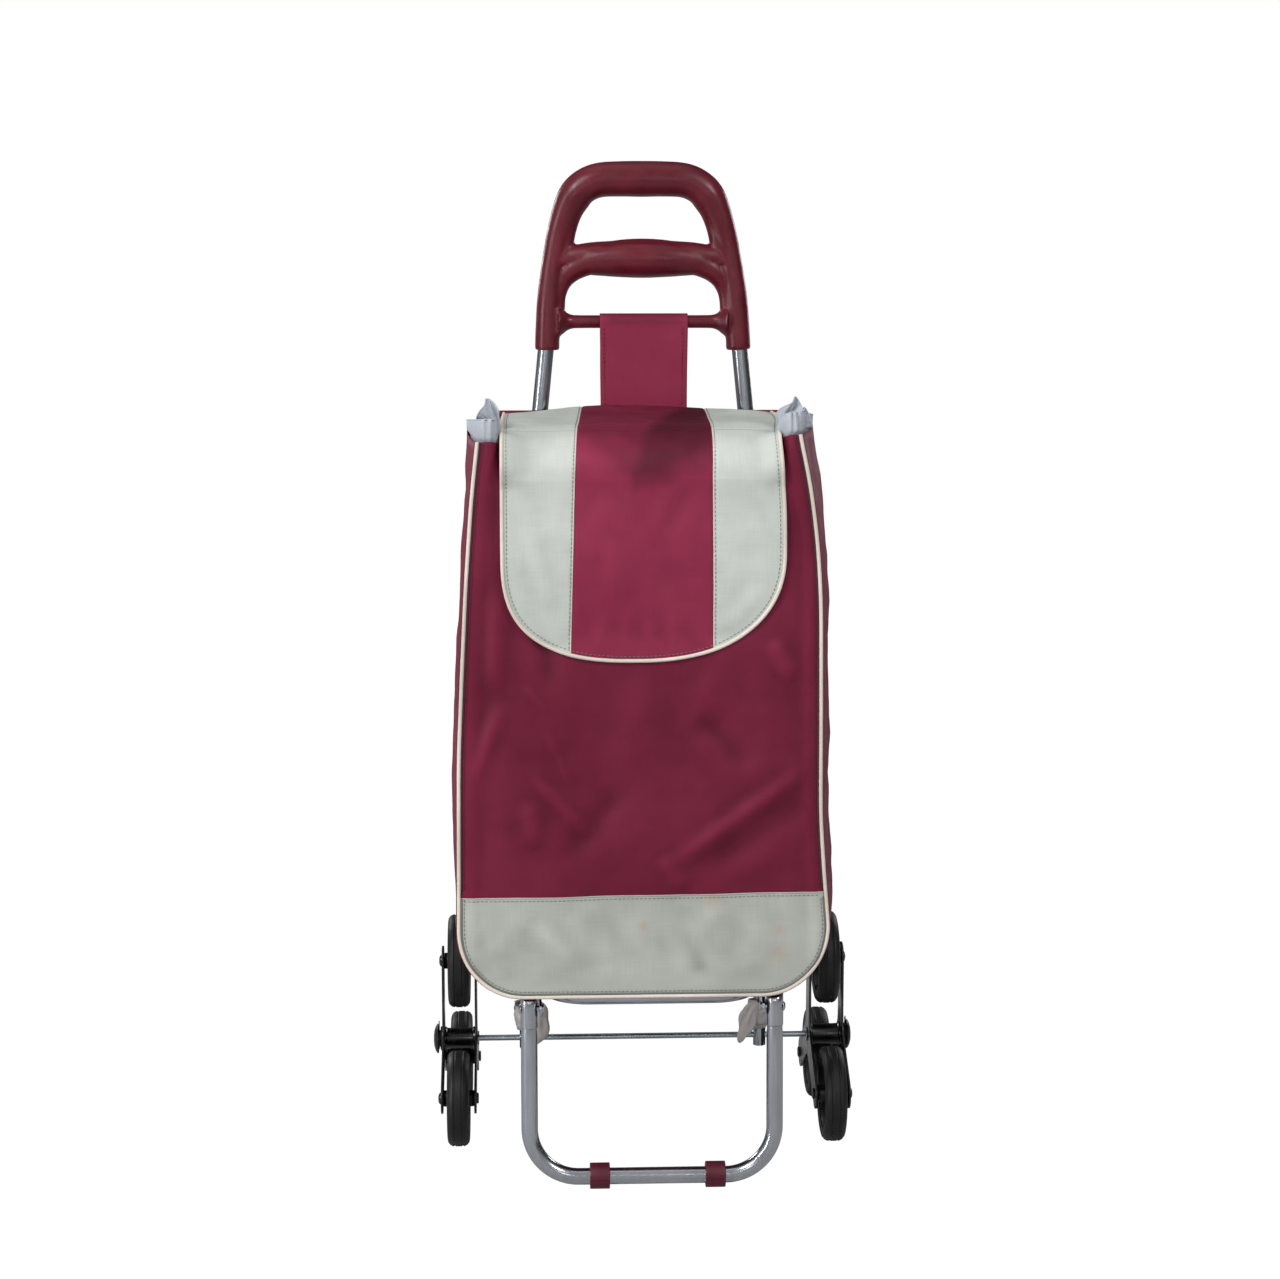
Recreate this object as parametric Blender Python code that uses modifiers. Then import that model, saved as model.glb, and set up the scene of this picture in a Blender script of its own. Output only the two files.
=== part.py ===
"""Shopping trolley with a fabric bag, a tube frame and two stair-climbing three-wheel stars.

Metres, +Z up, the front of the bag faces -Y.  The origin is the middle of the footprint, on the floor.
"left" is the -X side and "right" is the +X side.
"""
import math

import bmesh
import bpy
from mathutils import Matrix, Vector

# ---------------------------------------------------------------- driving dimensions
GAP = 0.0003                    # clearance between pieces that touch
RUNNING = 0.0003                # radial clearance of a bore on its shaft
ROUND_STEPS = 20                # sides of the wheels
SMALL_STEPS = 12                # sides of bolts and caps
PIN_STEPS = 8                   # sides of the wheel pins
SIDES = (("left", -1), ("right", 1))

WHEEL_RADIUS = 0.048
TYRE_WIDTH = 0.0223
RIM_RADIUS = 0.0345
STAR_RADIUS = 0.083             # star hub to wheel centre
STAR_X = 0.1903                 # middle of a star from the middle of the trolley
STAR_WIDTH = 0.036              # over both plates
PLATE = 0.0023
LOBE_RADIUS = 0.0155
HUB_RADIUS = 0.011
HUB_Z = STAR_RADIUS * math.sin(math.radians(30)) + WHEEL_RADIUS
AXLE_RADIUS = 0.003
PIN_RADIUS = 0.003
CAP_RADIUS = 0.0155
CAP_END_X = 0.2176

TUBE_RADIUS = 0.008
TUBE_WALL = 0.0012
FOOT_REACH = 0.210              # foot bar in front of the post plane
FOOT_BAR_Z = 0.013
FOOT_LEG_X = 0.1186
FOOT_BEND = 0.0475
SLEEVE_Z = 0.160                # where the foot tube plugs onto its knuckles
CLIP_WIDTH = 0.0192
CLIP_SIZE = 0.026
CLIP_X = {"left": -0.051, "right": 0.061}      # they have slid a little along the bar
PIVOT_REACH = 0.200             # foot hinge in front of the post plane
PIVOT_Z = 0.178

# the post plane, placed so that the footprint is centred on the origin
REAR_REACH = STAR_RADIUS * math.cos(math.radians(30)) + WHEEL_RADIUS
FRONT_REACH = FOOT_REACH + CLIP_SIZE / 2
POST_Y = (FRONT_REACH - REAR_REACH) / 2
PIVOT_Y = POST_Y - PIVOT_REACH

POST_X = 0.1219
POST_BOTTOM_Z = HUB_Z - 0.0105
POST_SWAGE_Z = 0.150
POST_SWAGE_RADIUS = 0.0065
POST_BEND_Z = 0.559
SOCKET_X = 0.0975
SOCKET_Z = 0.803
SOCKET_DEPTH = 0.045
POST_LEAN = (POST_X - SOCKET_X) / (SOCKET_Z - POST_BEND_Z)
CROSS_TUBE_RADIUS = 0.006
CROSS_TUBES = {"cross_tube_upper": 0.520, "cross_tube_lower": 0.262}

PLATFORM_Z = 0.186
PLATFORM_REACH = 0.187          # front bar of the platform in front of the post plane
PLATFORM_FRONT_X = 0.0985
PLATFORM_BEND = 0.040
PLATFORM_REAR_X = POST_X - 2 * TUBE_RADIUS - GAP

HANDLE_TOP_Z = 0.988
HANDLE_ARM_RADIUS = 0.0135
HANDLE_TOP_RADIUS = 0.017
HANDLE_GRIP_Z = 0.892
HANDLE_GRIP_RADIUS = 0.0175
CROSSBAR_Z = 0.8305
CROSSBAR_RADIUS = 0.00665

CLOTH = 0.002
PIPING_RADIUS = 0.00175
PIPING_INSET = PIPING_RADIUS + GAP
BAG_FRONT_Y = POST_Y - 0.210
BAG_BACK_Y = POST_Y - TUBE_RADIUS - 2 * CLOTH
BAG_BOTTOM_Z = 0.1923
BAG_RIM_Z = 0.727
BAG_CORNER = 0.066
KICK_TOP_Z = 0.292
# width of the front panel over its piping, at heights from the rim down
BAG_WIDTHS = ((0.748, 0.296), (0.727, 0.300), (0.656, 0.323), (0.584, 0.332), (0.499, 0.340),
              (0.403, 0.344), (0.292, 0.347), (0.257, 0.350))
FRONT_SHIFT_FOOT = -0.007       # the bag's front hangs a little to the left, more at the rim
FRONT_SHIFT_RIM = -0.0135
BAG_BULGE = 0.013               # how far the sides stand out half-way back
BAG_BULGE_FROM_Z = 0.235
COLLAR_DEPTH = 0.022            # of the collar below the rim
COLLAR_HEIGHT = 0.041           # of the collar beside the lid
LID_WIDTH = 0.268
LID_SHIFT = -0.009
FLAP_SHIFT = -0.0115
LID_REAR_Z = 0.745
LID_FRONT_Z = 0.731
FLAP_BOTTOM_Z = 0.518
FLAP_CORNER_X = 0.075
FLAP_CORNER_Z = 0.085
STRAP_WIDTH = 0.088
TIE_RADIUS = 0.0125

# ---------------------------------------------------------------- colours, roughness, metallic
FINISHES = {
    "burgundy_plastic": ("5A1C2A", 0.28, 0.0),
    "burgundy_nylon": ("6E2238", 0.62, 0.0),
    "grey_nylon": ("A9ABA3", 0.68, 0.0),
    "collar_cloth": ("C3C8D0", 0.75, 0.0),
    "piping": ("E0D6CE", 0.55, 0.0),
    "satin_steel": ("9A9EA4", 0.32, 1.0),
    "zinc_steel": ("A4ADB2", 0.30, 1.0),
    "black_steel": ("18181A", 0.38, 0.4),
    "black_plastic": ("1A1A1B", 0.42, 0.0),
    "black_rubber": ("1C1C1C", 0.70, 0.0),
    "board": ("3A3838", 0.80, 0.0),
}


def srgb_to_linear(value):
    return value / 12.92 if value <= 0.04045 else ((value + 0.055) / 1.055) ** 2.4


def make_material(name, finish):
    """A Principled material for one sub-part."""
    code, roughness, metallic = FINISHES[finish]
    material = bpy.data.materials.new(name)
    material.use_nodes = True
    shader = material.node_tree.nodes["Principled BSDF"]
    channels = [srgb_to_linear(int(code[i:i + 2], 16) / 255) for i in (0, 2, 4)]
    shader.inputs["Base Color"].default_value = (*channels, 1.0)
    shader.inputs["Roughness"].default_value = roughness
    shader.inputs["Metallic"].default_value = metallic
    material.diffuse_color = (*channels, 1.0)
    return material


# ---------------------------------------------------------------- scene and object helpers
def clear_scene():
    for item in list(bpy.data.objects):
        bpy.data.objects.remove(item, do_unlink=True)
    trolley = bpy.data.collections.new("shopping_trolley")
    cutters = bpy.data.collections.new("cutters")
    for collection in (trolley, cutters):
        bpy.context.scene.collection.children.link(collection)
    return trolley, cutters


PARTS, CUTTERS = clear_scene()


def add_object(name, data, finish, location=(0, 0, 0), rotation=(0, 0, 0)):
    """Put one sub-part in the trolley's collection."""
    item = bpy.data.objects.new(name, data)
    item.location = location
    item.rotation_euler = rotation
    data.materials.clear()
    data.materials.append(make_material(name, finish))
    PARTS.objects.link(item)
    return item


def add_empty(name, location):
    empty = bpy.data.objects.new(name, None)
    empty.location = location
    empty.empty_display_size = 0.03
    PARTS.objects.link(empty)
    return empty


def attach(item, empty):
    """Parent a piece to its joint's empty and leave it where it is."""
    item.parent = empty
    item.matrix_parent_inverse = Matrix.Translation(empty.location).inverted()


def shade_round(mesh, angle=40):
    mesh.shade_smooth()
    mesh.set_sharp_from_angle(angle=math.radians(angle))


def cylinder_mesh(name, radius, length, steps=SMALL_STEPS):
    """A closed cylinder along local Z, centred on its origin."""
    shape = bmesh.new()
    bmesh.ops.create_cone(shape, cap_ends=True, segments=steps, radius1=radius, radius2=radius, depth=length)
    mesh = bpy.data.meshes.new(name)
    shape.to_mesh(mesh)
    shape.free()
    shade_round(mesh)
    return mesh


def box_mesh(name, size):
    shape = bmesh.new()
    bmesh.ops.create_cube(shape, size=1.0, matrix=Matrix.Diagonal((*size, 1.0)))
    mesh = bpy.data.meshes.new(name)
    shape.to_mesh(mesh)
    shape.free()
    return mesh


def add_cutter(name, mesh, location, rotation=(0, 0, 0)):
    """A tool body for a Boolean; it isn't part of the trolley."""
    cutter = bpy.data.objects.new(name, mesh)
    cutter.location = location
    cutter.rotation_euler = rotation
    cutter.hide_render = True
    cutter.display_type = "WIRE"
    CUTTERS.objects.link(cutter)
    return cutter


def combine(item, tool, operation):
    boolean = item.modifiers.new(operation.lower(), "BOOLEAN")
    boolean.operation = operation
    boolean.solver = "EXACT"
    boolean.object = tool


ALONG_X = (0, math.pi / 2, 0)
ALONG_Y = (math.pi / 2, 0, 0)


def drill(item, radius, length, location, rotation=ALONG_X):
    """Cut a round hole through a mesh object."""
    name = f"{item.name}_drill_{len(item.modifiers)}"
    tool = add_cutter(name, cylinder_mesh(name, radius, length), location, rotation)
    combine(item, tool, "DIFFERENCE")


def turned(name, profile, finish, location, rotation=ALONG_X, steps=SMALL_STEPS, ring=False):
    """Turn a profile of (radius, height) points about local Z.

    The points run down the outer side.  A ring's profile is a closed loop clear of the axis.
    """
    mesh = bpy.data.meshes.new(name)
    count = len(profile)
    edges = [(i, i + 1) for i in range(count - 1)]
    if ring:
        edges.append((count - 1, 0))
    mesh.from_pydata([(radius, 0, height) for radius, height in profile], edges, [])
    item = add_object(name, mesh, finish, location, rotation)
    screw = item.modifiers.new("turn", "SCREW")
    screw.steps = steps
    screw.render_steps = steps
    screw.use_merge_vertices = True
    screw.merge_threshold = 0.00002
    screw.use_smooth_shade = True
    return item


def flat_curve(name, outlines, thickness):
    """A flat 2D curve in local XY; outlines after the first are holes."""
    curve = bpy.data.curves.new(name, "CURVE")
    curve.dimensions = "2D"
    curve.fill_mode = "BOTH"
    curve.extrude = thickness / 2
    for outline in outlines:
        spline = curve.splines.new("POLY")
        spline.points.add(len(outline) - 1)
        for point, (x, y) in zip(spline.points, outline):
            point.co = (x, y, 0, 1)
        spline.use_cyclic_u = True
    return curve


def flat_part(name, outlines, thickness, finish, location=(0, 0, 0), rotation=ALONG_Y):
    """A flat piece; with ALONG_Y its outline stands in the XZ plane."""
    return add_object(name, flat_curve(name, outlines, thickness), finish, location, rotation)


def tube_curve(name, path, radius, radii=None, caps=True, resolution=4):
    """A tube along a path; radii scales the radius at each point."""
    curve = bpy.data.curves.new(name, "CURVE")
    curve.dimensions = "3D"
    curve.bevel_depth = radius
    curve.bevel_resolution = resolution
    curve.use_fill_caps = caps
    spline = curve.splines.new("POLY")
    spline.points.add(len(path) - 1)
    for index, (point, place) in enumerate(zip(spline.points, path)):
        point.co = (*place, 1)
        point.radius = radii[index] if radii else 1.0
    return curve


def curve_to_mesh(name, curve):
    """The mesh of a curve, with its caps welded on."""
    holder = bpy.data.objects.new(name, curve)
    PARTS.objects.link(holder)
    graph = bpy.context.evaluated_depsgraph_get()
    mesh = bpy.data.meshes.new_from_object(holder.evaluated_get(graph))
    mesh.transform(holder.matrix_world)
    bpy.data.objects.remove(holder, do_unlink=True)
    shape = bmesh.new()
    shape.from_mesh(mesh)
    bmesh.ops.remove_doubles(shape, verts=shape.verts, dist=0.00001)
    bmesh.ops.recalc_face_normals(shape, faces=shape.faces)
    shape.to_mesh(mesh)
    shape.free()
    mesh.name = name
    shade_round(mesh)
    return mesh


def hollow_tube(name, path, radius, finish, radii=None, resolution=4):
    """A tube with open ends and a wall, along a path."""
    mesh = curve_to_mesh(name, tube_curve(name, path, radius, radii, caps=False, resolution=resolution))
    item = add_object(name, mesh, finish)
    wall = item.modifiers.new("wall", "SOLIDIFY")
    wall.thickness = TUBE_WALL
    wall.offset = -1
    return item


def arc(centre, radius, start, end, steps):
    """Points on an arc, angles in degrees; a pair of radii gives an ellipse."""
    across, up = radius if isinstance(radius, tuple) else (radius, radius)
    angles = [math.radians(start + (end - start) * i / steps) for i in range(steps + 1)]
    return [(centre[0] + across * math.cos(a), centre[1] + up * math.sin(a)) for a in angles]


def circle(centre, radius, steps):
    return arc(centre, radius, 0, 360, steps)[:-1]


def bent_path(corners, bend_radius, steps=5):
    """A path through corner points, with a round bend at each inner corner."""
    places = [Vector(corner) for corner in corners]
    path = [places[0]]
    for before, corner, after in zip(places, places[1:], places[2:]):
        back = (before - corner).normalized()
        ahead = (after - corner).normalized()
        half_angle = back.angle(ahead) / 2
        centre = corner + (back + ahead).normalized() * bend_radius / math.sin(half_angle)
        reach = bend_radius / math.tan(half_angle)
        first = (corner + back * reach - centre).normalized()
        last = (corner + ahead * reach - centre).normalized()
        path += [centre + first.slerp(last, i / steps) * bend_radius for i in range(steps + 1)]
    path.append(places[-1])
    return path


def loft(name, rows, finish, close_rows=False):
    """An open surface through rows of points, thickened inward to the cloth's thickness."""
    width = len(rows[0])
    faces = []
    last = width if close_rows else width - 1
    for r in range(len(rows) - 1):
        for c in range(last):
            d = (c + 1) % width
            faces.append((r * width + c, r * width + d, (r + 1) * width + d, (r + 1) * width + c))
    mesh = bpy.data.meshes.new(name)
    mesh.from_pydata([point for row in rows for point in row], [], faces)
    shade_round(mesh)
    item = add_object(name, mesh, finish)
    solid = item.modifiers.new("cloth", "SOLIDIFY")
    solid.thickness = CLOTH
    solid.offset = -1
    return item


# ---------------------------------------------------------------- frame
def build_posts():
    """Two tubes, swaged thinner at the axle and leaning inward above the bend."""
    swage = POST_SWAGE_RADIUS / TUBE_RADIUS
    top_z = SOCKET_Z + SOCKET_DEPTH - 0.002
    top_x = SOCKET_X - POST_LEAN * (top_z - SOCKET_Z)
    for side, sign in SIDES:
        bend = bent_path(((sign * POST_X, POST_Y, POST_SWAGE_Z + 0.012),
                          (sign * POST_X, POST_Y, POST_BEND_Z),
                          (sign * top_x, POST_Y, top_z)), 0.25, 3)
        path = [(sign * POST_X, POST_Y, POST_BOTTOM_Z), (sign * POST_X, POST_Y, POST_SWAGE_Z)] + bend
        radii = [swage, swage] + [1.0] * len(bend)
        post = hollow_tube(f"post_{side}", path, TUBE_RADIUS, "satin_steel", radii)
        drill(post, AXLE_RADIUS + RUNNING, 0.03, (sign * POST_X, POST_Y, HUB_Z))
        drill(post, PIN_RADIUS + RUNNING, 0.03, (sign * POST_X, POST_Y, PLATFORM_Z))


def build_cross_tubes():
    """Thin tubes between the posts, their ends cut to fit round them."""
    for name, height in CROSS_TUBES.items():
        reach = POST_X - 0.004
        path = [(-reach, POST_Y, height), (reach, POST_Y, height)]
        tube = hollow_tube(name, path, CROSS_TUBE_RADIUS, "satin_steel")
        for _, sign in SIDES:
            drill(tube, TUBE_RADIUS + GAP, 0.04, (sign * POST_X, POST_Y, height), (0, 0, 0))


def build_platform():
    """A U of tube that the bag stands on, bolted to the inner faces of the posts."""
    front_y = POST_Y - PLATFORM_REACH
    corners = ((-PLATFORM_REAR_X, POST_Y + 0.010, PLATFORM_Z), (-PLATFORM_FRONT_X, front_y, PLATFORM_Z),
               (PLATFORM_FRONT_X, front_y, PLATFORM_Z), (PLATFORM_REAR_X, POST_Y + 0.010, PLATFORM_Z))
    frame = hollow_tube("platform_frame", bent_path(corners, PLATFORM_BEND), TUBE_RADIUS, "satin_steel")
    for side, sign in SIDES:
        drill(frame, PIN_RADIUS + RUNNING, 0.03, (sign * PLATFORM_REAR_X, POST_Y, PLATFORM_Z))
        outer = POST_X + TUBE_RADIUS + GAP
        inner = PLATFORM_REAR_X - TUBE_RADIUS - 0.0015
        head = 0.0045
        profile = [(0, outer + head - POST_X), (0.0045, outer + head - POST_X),
                   (0.006, outer + 0.002 - POST_X), (0.006, outer - POST_X),
                   (PIN_RADIUS, outer - POST_X), (PIN_RADIUS, inner - POST_X),
                   (0.0055, inner - POST_X), (0.0055, inner - 0.004 - POST_X),
                   (0, inner - 0.004 - POST_X)]
        turned(f"platform_bolt_{side}", profile, "zinc_steel", (sign * POST_X, POST_Y, PLATFORM_Z),
               (0, sign * math.pi / 2, 0))


def build_brackets():
    """Plates on the platform's arms that carry the foot's rivets."""
    splay = math.atan2(PLATFORM_REAR_X - PLATFORM_FRONT_X, PLATFORM_REACH)
    rear = PIVOT_REACH - 0.126
    outline = arc((0, 0), 0.0085, 150, 325, 7)
    outline += [(rear, 0.002), (rear, 0.014), (0.020, 0.0145)]
    hole = circle((0, 0), PIN_RADIUS + RUNNING, 8)
    offset = TUBE_RADIUS + GAP + PLATE / 2
    front_x = PLATFORM_FRONT_X - math.tan(splay) * (PIVOT_REACH - PLATFORM_REACH)
    for side, sign in SIDES:
        flat_part(f"hinge_bracket_{side}", (outline, hole), PLATE, "satin_steel",
                  (sign * (front_x + offset / math.cos(splay)), PIVOT_Y, PIVOT_Z),
                  (math.pi / 2, 0, math.pi / 2 - sign * splay))


# ---------------------------------------------------------------- folding foot
def foot_leg_y(height):
    """The legs lean forward a little on their way down."""
    share = (PIVOT_Z - height) / (PIVOT_Z - FOOT_BAR_Z)
    return PIVOT_Y - share * (FOOT_REACH - PIVOT_REACH)


def build_foot(pivot):
    lean = math.atan2(FOOT_REACH - PIVOT_REACH, PIVOT_Z - FOOT_BAR_Z)
    bar_y = foot_leg_y(FOOT_BAR_Z)
    corners = ((-FOOT_LEG_X, foot_leg_y(SLEEVE_Z), SLEEVE_Z), (-FOOT_LEG_X, bar_y, FOOT_BAR_Z),
               (FOOT_LEG_X, bar_y, FOOT_BAR_Z), (FOOT_LEG_X, foot_leg_y(SLEEVE_Z), SLEEVE_Z))
    tube = hollow_tube("foot_tube", bent_path(corners, FOOT_BEND, 6), TUBE_RADIUS, "satin_steel")
    attach(tube, pivot)
    neck = TUBE_RADIUS - 0.0007
    spigot = TUBE_RADIUS - TUBE_WALL - 2 * GAP
    shoulder = SLEEVE_Z + GAP - PIVOT_Z
    dome = [(neck * math.sin(math.radians(a)), neck * math.cos(math.radians(a))) for a in (0, 30, 60, 90)]
    profile = dome + [(neck, shoulder), (spigot, shoulder), (spigot, shoulder - 0.030), (0, shoulder - 0.030)]
    for side, sign in SIDES:
        knuckle = turned(f"leg_knuckle_{side}", profile, "satin_steel", (sign * FOOT_LEG_X, PIVOT_Y, PIVOT_Z),
                         (-lean, 0, 0))
        drill(knuckle, PIN_RADIUS + RUNNING, 0.03, (sign * FOOT_LEG_X, PIVOT_Y, PIVOT_Z))
        attach(knuckle, pivot)
        clip = add_object(f"foot_clip_{side}", box_mesh("clip", (CLIP_WIDTH, CLIP_SIZE, CLIP_SIZE)),
                          "burgundy_plastic", (CLIP_X[side], bar_y, CLIP_SIZE / 2))
        edge = clip.modifiers.new("edges", "BEVEL")
        edge.width = 0.0035
        edge.segments = 2
        drill(clip, TUBE_RADIUS + GAP, 0.04, (CLIP_X[side], bar_y, FOOT_BAR_Z))
        attach(clip, pivot)


def build_rivets():
    """Rivets through the brackets and the knuckles, with a domed head outside."""
    outer = FOOT_LEG_X + TUBE_RADIUS
    inner = PLATFORM_FRONT_X + TUBE_RADIUS - 0.0007
    for side, sign in SIDES:
        top = outer + 0.0025 - FOOT_LEG_X
        face = outer - 0.0005 - FOOT_LEG_X
        end = inner - FOOT_LEG_X
        profile = [(0, top), (0.003, top - 0.0004), (0.005, face + 0.0008), (0.005, face), (PIN_RADIUS, face),
                   (PIN_RADIUS, end), (0.0045, end), (0.0045, end - 0.0018), (0, end - 0.0018)]
        turned(f"hinge_rivet_{side}", profile, "satin_steel", (sign * FOOT_LEG_X, PIVOT_Y, PIVOT_Z),
               (0, sign * math.pi / 2, 0))


# ---------------------------------------------------------------- wheel stars
def star_outline():
    """Three round lobes joined by hollow sides."""
    outline = []
    for lobe in range(3):
        angle = 90 + 120 * lobe
        centre = (STAR_RADIUS * math.cos(math.radians(angle)), STAR_RADIUS * math.sin(math.radians(angle)))
        outline += arc(centre, LOBE_RADIUS, angle - 95, angle + 95, 8)
        waist = math.radians(angle + 60)
        for turn, reach in ((-24, 0.0265), (-12, 0.0225), (0, 0.0215), (12, 0.0225), (24, 0.0265)):
            outline.append((reach * math.cos(waist + math.radians(turn)),
                            reach * math.sin(waist + math.radians(turn))))
    return outline


def wheel_places():
    """Letter and (y, z) of each wheel about the star's hub."""
    for letter, angle in zip("abc", (90, 210, 330)):
        yield letter, STAR_RADIUS * math.cos(math.radians(angle)), STAR_RADIUS * math.sin(math.radians(angle))


def build_plates(side, sign, hub):
    holes = [circle((y, z), PIN_RADIUS + GAP, 8) for _, y, z in wheel_places()]
    holes.append(circle((0, 0), AXLE_RADIUS + RUNNING, SMALL_STEPS))
    reach = STAR_WIDTH / 2 - PLATE / 2
    for face, offset in (("outer", reach), ("inner", -reach)):
        plate = flat_part(f"star_plate_{face}_{side}", [star_outline()] + holes, PLATE, "black_steel",
                          (sign * (STAR_X + offset), POST_Y, HUB_Z), (math.pi / 2, 0, math.pi / 2))
        attach(plate, hub)


def build_hub(side, sign, hub):
    half = STAR_WIDTH / 2 - PLATE - GAP
    bore = AXLE_RADIUS + RUNNING
    profile = [(HUB_RADIUS, half), (HUB_RADIUS, -half), (bore, -half), (bore, half)]
    attach(turned(f"star_hub_{side}", profile, "black_steel", (sign * STAR_X, POST_Y, HUB_Z), ring=True), hub)


def build_wheel(side, sign, letter, place, hub):
    """A tyre on a rim with a long boss, turning on a pin between the plates."""
    spin = add_empty(f"spin_{side}_{letter}", place)
    attach(spin, hub)
    half = TYRE_WIDTH / 2
    seat = RIM_RADIUS + GAP
    tyre = [(WHEEL_RADIUS - 0.0065, half), (WHEEL_RADIUS - 0.0018, half - 0.0026),
            (WHEEL_RADIUS, half - 0.0068), (WHEEL_RADIUS, -half + 0.0068),
            (WHEEL_RADIUS - 0.0018, -half + 0.0026), (WHEEL_RADIUS - 0.0065, -half),
            (seat, -half + 0.001), (seat, half - 0.001)]
    attach(turned(f"tyre_{side}_{letter}", tyre, "black_rubber", place, steps=ROUND_STEPS, ring=True), spin)
    boss = STAR_WIDTH / 2 - PLATE - GAP
    bore = PIN_RADIUS + RUNNING
    web = 0.003
    rim = [(0.008, boss), (0.008, web), (RIM_RADIUS - 0.004, web), (RIM_RADIUS, half - 0.0025),
           (RIM_RADIUS, -half + 0.0025), (RIM_RADIUS - 0.004, -web), (0.008, -web), (0.008, -boss),
           (bore, -boss), (bore, boss)]
    attach(turned(f"rim_{side}_{letter}", rim, "black_plastic", place, steps=ROUND_STEPS, ring=True), spin)
    out = STAR_WIDTH / 2 + GAP
    pin = [(0, out + 0.0024), (0.0045, out + 0.0024), (0.006, out + 0.001), (0.006, out), (PIN_RADIUS, out),
           (PIN_RADIUS, -out), (0.0055, -out), (0.0055, -out - 0.002), (0, -out - 0.002)]
    attach(turned(f"wheel_pin_{side}_{letter}", pin, "black_steel", place, (0, sign * math.pi / 2, 0),
                  steps=PIN_STEPS), hub)


def build_stars():
    for side, sign in SIDES:
        hub = add_empty(f"turn_{side}", (sign * STAR_X, POST_Y, HUB_Z))
        build_plates(side, sign, hub)
        build_hub(side, sign, hub)
        for letter, y, z in wheel_places():
            build_wheel(side, sign, letter, (sign * STAR_X, POST_Y + y, HUB_Z + z), hub)


def build_axle():
    """A rod through both posts and both stars, with washers, caps and cotter pins."""
    end_x = CAP_END_X - 0.0035
    axle = add_object("axle", cylinder_mesh("axle", AXLE_RADIUS, 2 * end_x), "zinc_steel",
                      (0, POST_Y, HUB_Z), ALONG_X)
    plate_out = STAR_X + STAR_WIDTH / 2
    neck_x = plate_out + GAP + 0.0033
    for side, sign in SIDES:
        bore = AXLE_RADIUS + RUNNING
        washer = [(0.007, 0.0008), (0.007, -0.0008), (bore, -0.0008), (bore, 0.0008)]
        washer_x = STAR_X - STAR_WIDTH / 2 - 0.0011
        turned(f"axle_washer_{side}", washer, "zinc_steel", (sign * washer_x, POST_Y, HUB_Z), ring=True)
        foot = plate_out + GAP - neck_x
        top = CAP_END_X - neck_x
        cap = [(0, top), (0.007, top - 0.0006), (0.012, top - 0.002), (CAP_RADIUS, top - 0.0045),
               (0.009, top - 0.0048), (0.009, foot + 0.0022), (0.0125, foot + 0.0018), (0.0125, foot),
               (bore, foot), (bore, end_x + 0.0004 - neck_x), (0, end_x + 0.0004 - neck_x)]
        shell = turned(f"hub_cap_{side}", cap, "black_plastic", (sign * neck_x, POST_Y, HUB_Z),
                       (0, sign * math.pi / 2, 0))
        drill(shell, 0.0011, 0.03, (sign * neck_x, POST_Y, HUB_Z), (0, 0, 0))
        drill(axle, 0.0011, 0.03, (sign * neck_x, POST_Y, HUB_Z), (0, 0, 0))
        loop = [(sign * neck_x, POST_Y + y, HUB_Z + z) for y, z in arc((0, 0.0160), 0.0026, -90, 190, 7)]
        path = [(sign * neck_x, POST_Y, HUB_Z - 0.0115)] + loop
        pin = curve_to_mesh(f"cotter_pin_{side}", tube_curve("wire", path, 0.0008, resolution=1))
        add_object(f"cotter_pin_{side}", pin, "zinc_steel")


# ---------------------------------------------------------------- handle
def build_handle():
    """An arch of tube with a fat grip, a thin bar below it, and sockets for the posts."""
    top_z = HANDLE_TOP_Z - HANDLE_TOP_RADIUS
    corners = ((-0.0962, POST_Y, SOCKET_Z), (-0.0870, POST_Y, 0.872), (-0.0755, POST_Y, 0.935),
               (-0.0640, POST_Y, top_z), (0.0640, POST_Y, top_z), (0.0755, POST_Y, 0.935),
               (0.0870, POST_Y, 0.872), (0.0962, POST_Y, SOCKET_Z))
    path = bent_path(corners, 0.026, 3)
    swell = HANDLE_TOP_RADIUS / HANDLE_ARM_RADIUS - 1
    radii = []
    for place in path:
        above = (place[2] - SOCKET_Z) / (top_z - SOCKET_Z)
        radii.append(0.89 + 0.11 * min(1, above / 0.35) + swell * max(0, (above - 0.75) / 0.25))
    handle = add_object("handle_grip", curve_to_mesh("handle_grip", tube_curve(
        "arch", path, HANDLE_ARM_RADIUS, radii)), "burgundy_plastic")
    reach = 0.083
    grip_path = [(reach * share, POST_Y, HANDLE_GRIP_Z) for share in (-1, -0.5, 0, 0.5, 1)]
    grip_curve = tube_curve("grip", grip_path, HANDLE_GRIP_RADIUS, [0.80, 0.94, 1, 0.94, 0.80])
    grip = curve_to_mesh("grip", grip_curve)
    combine(handle, add_cutter("grip", grip, (0, 0, 0)), "UNION")
    bar = cylinder_mesh("crossbar", CROSSBAR_RADIUS, 2 * 0.090)
    combine(handle, add_cutter("crossbar", bar, (0, POST_Y, CROSSBAR_Z), ALONG_X), "UNION")
    for _, sign in SIDES:
        lean = -sign * math.atan(POST_LEAN)
        drill(handle, TUBE_RADIUS + GAP, 2 * SOCKET_DEPTH, (sign * SOCKET_X, POST_Y, SOCKET_Z), (0, lean, 0))


# ---------------------------------------------------------------- bag
def bag_half_width(height):
    """Half the width over the piping at a height above the lower corners."""
    rows = sorted(BAG_WIDTHS)
    if height <= rows[0][0]:
        return rows[0][1] / 2
    for (low, narrow), (high, wide) in zip(rows, rows[1:]):
        if height <= high:
            return (narrow + (wide - narrow) * (height - low) / (high - low)) / 2
    return rows[-1][1] / 2


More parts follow.
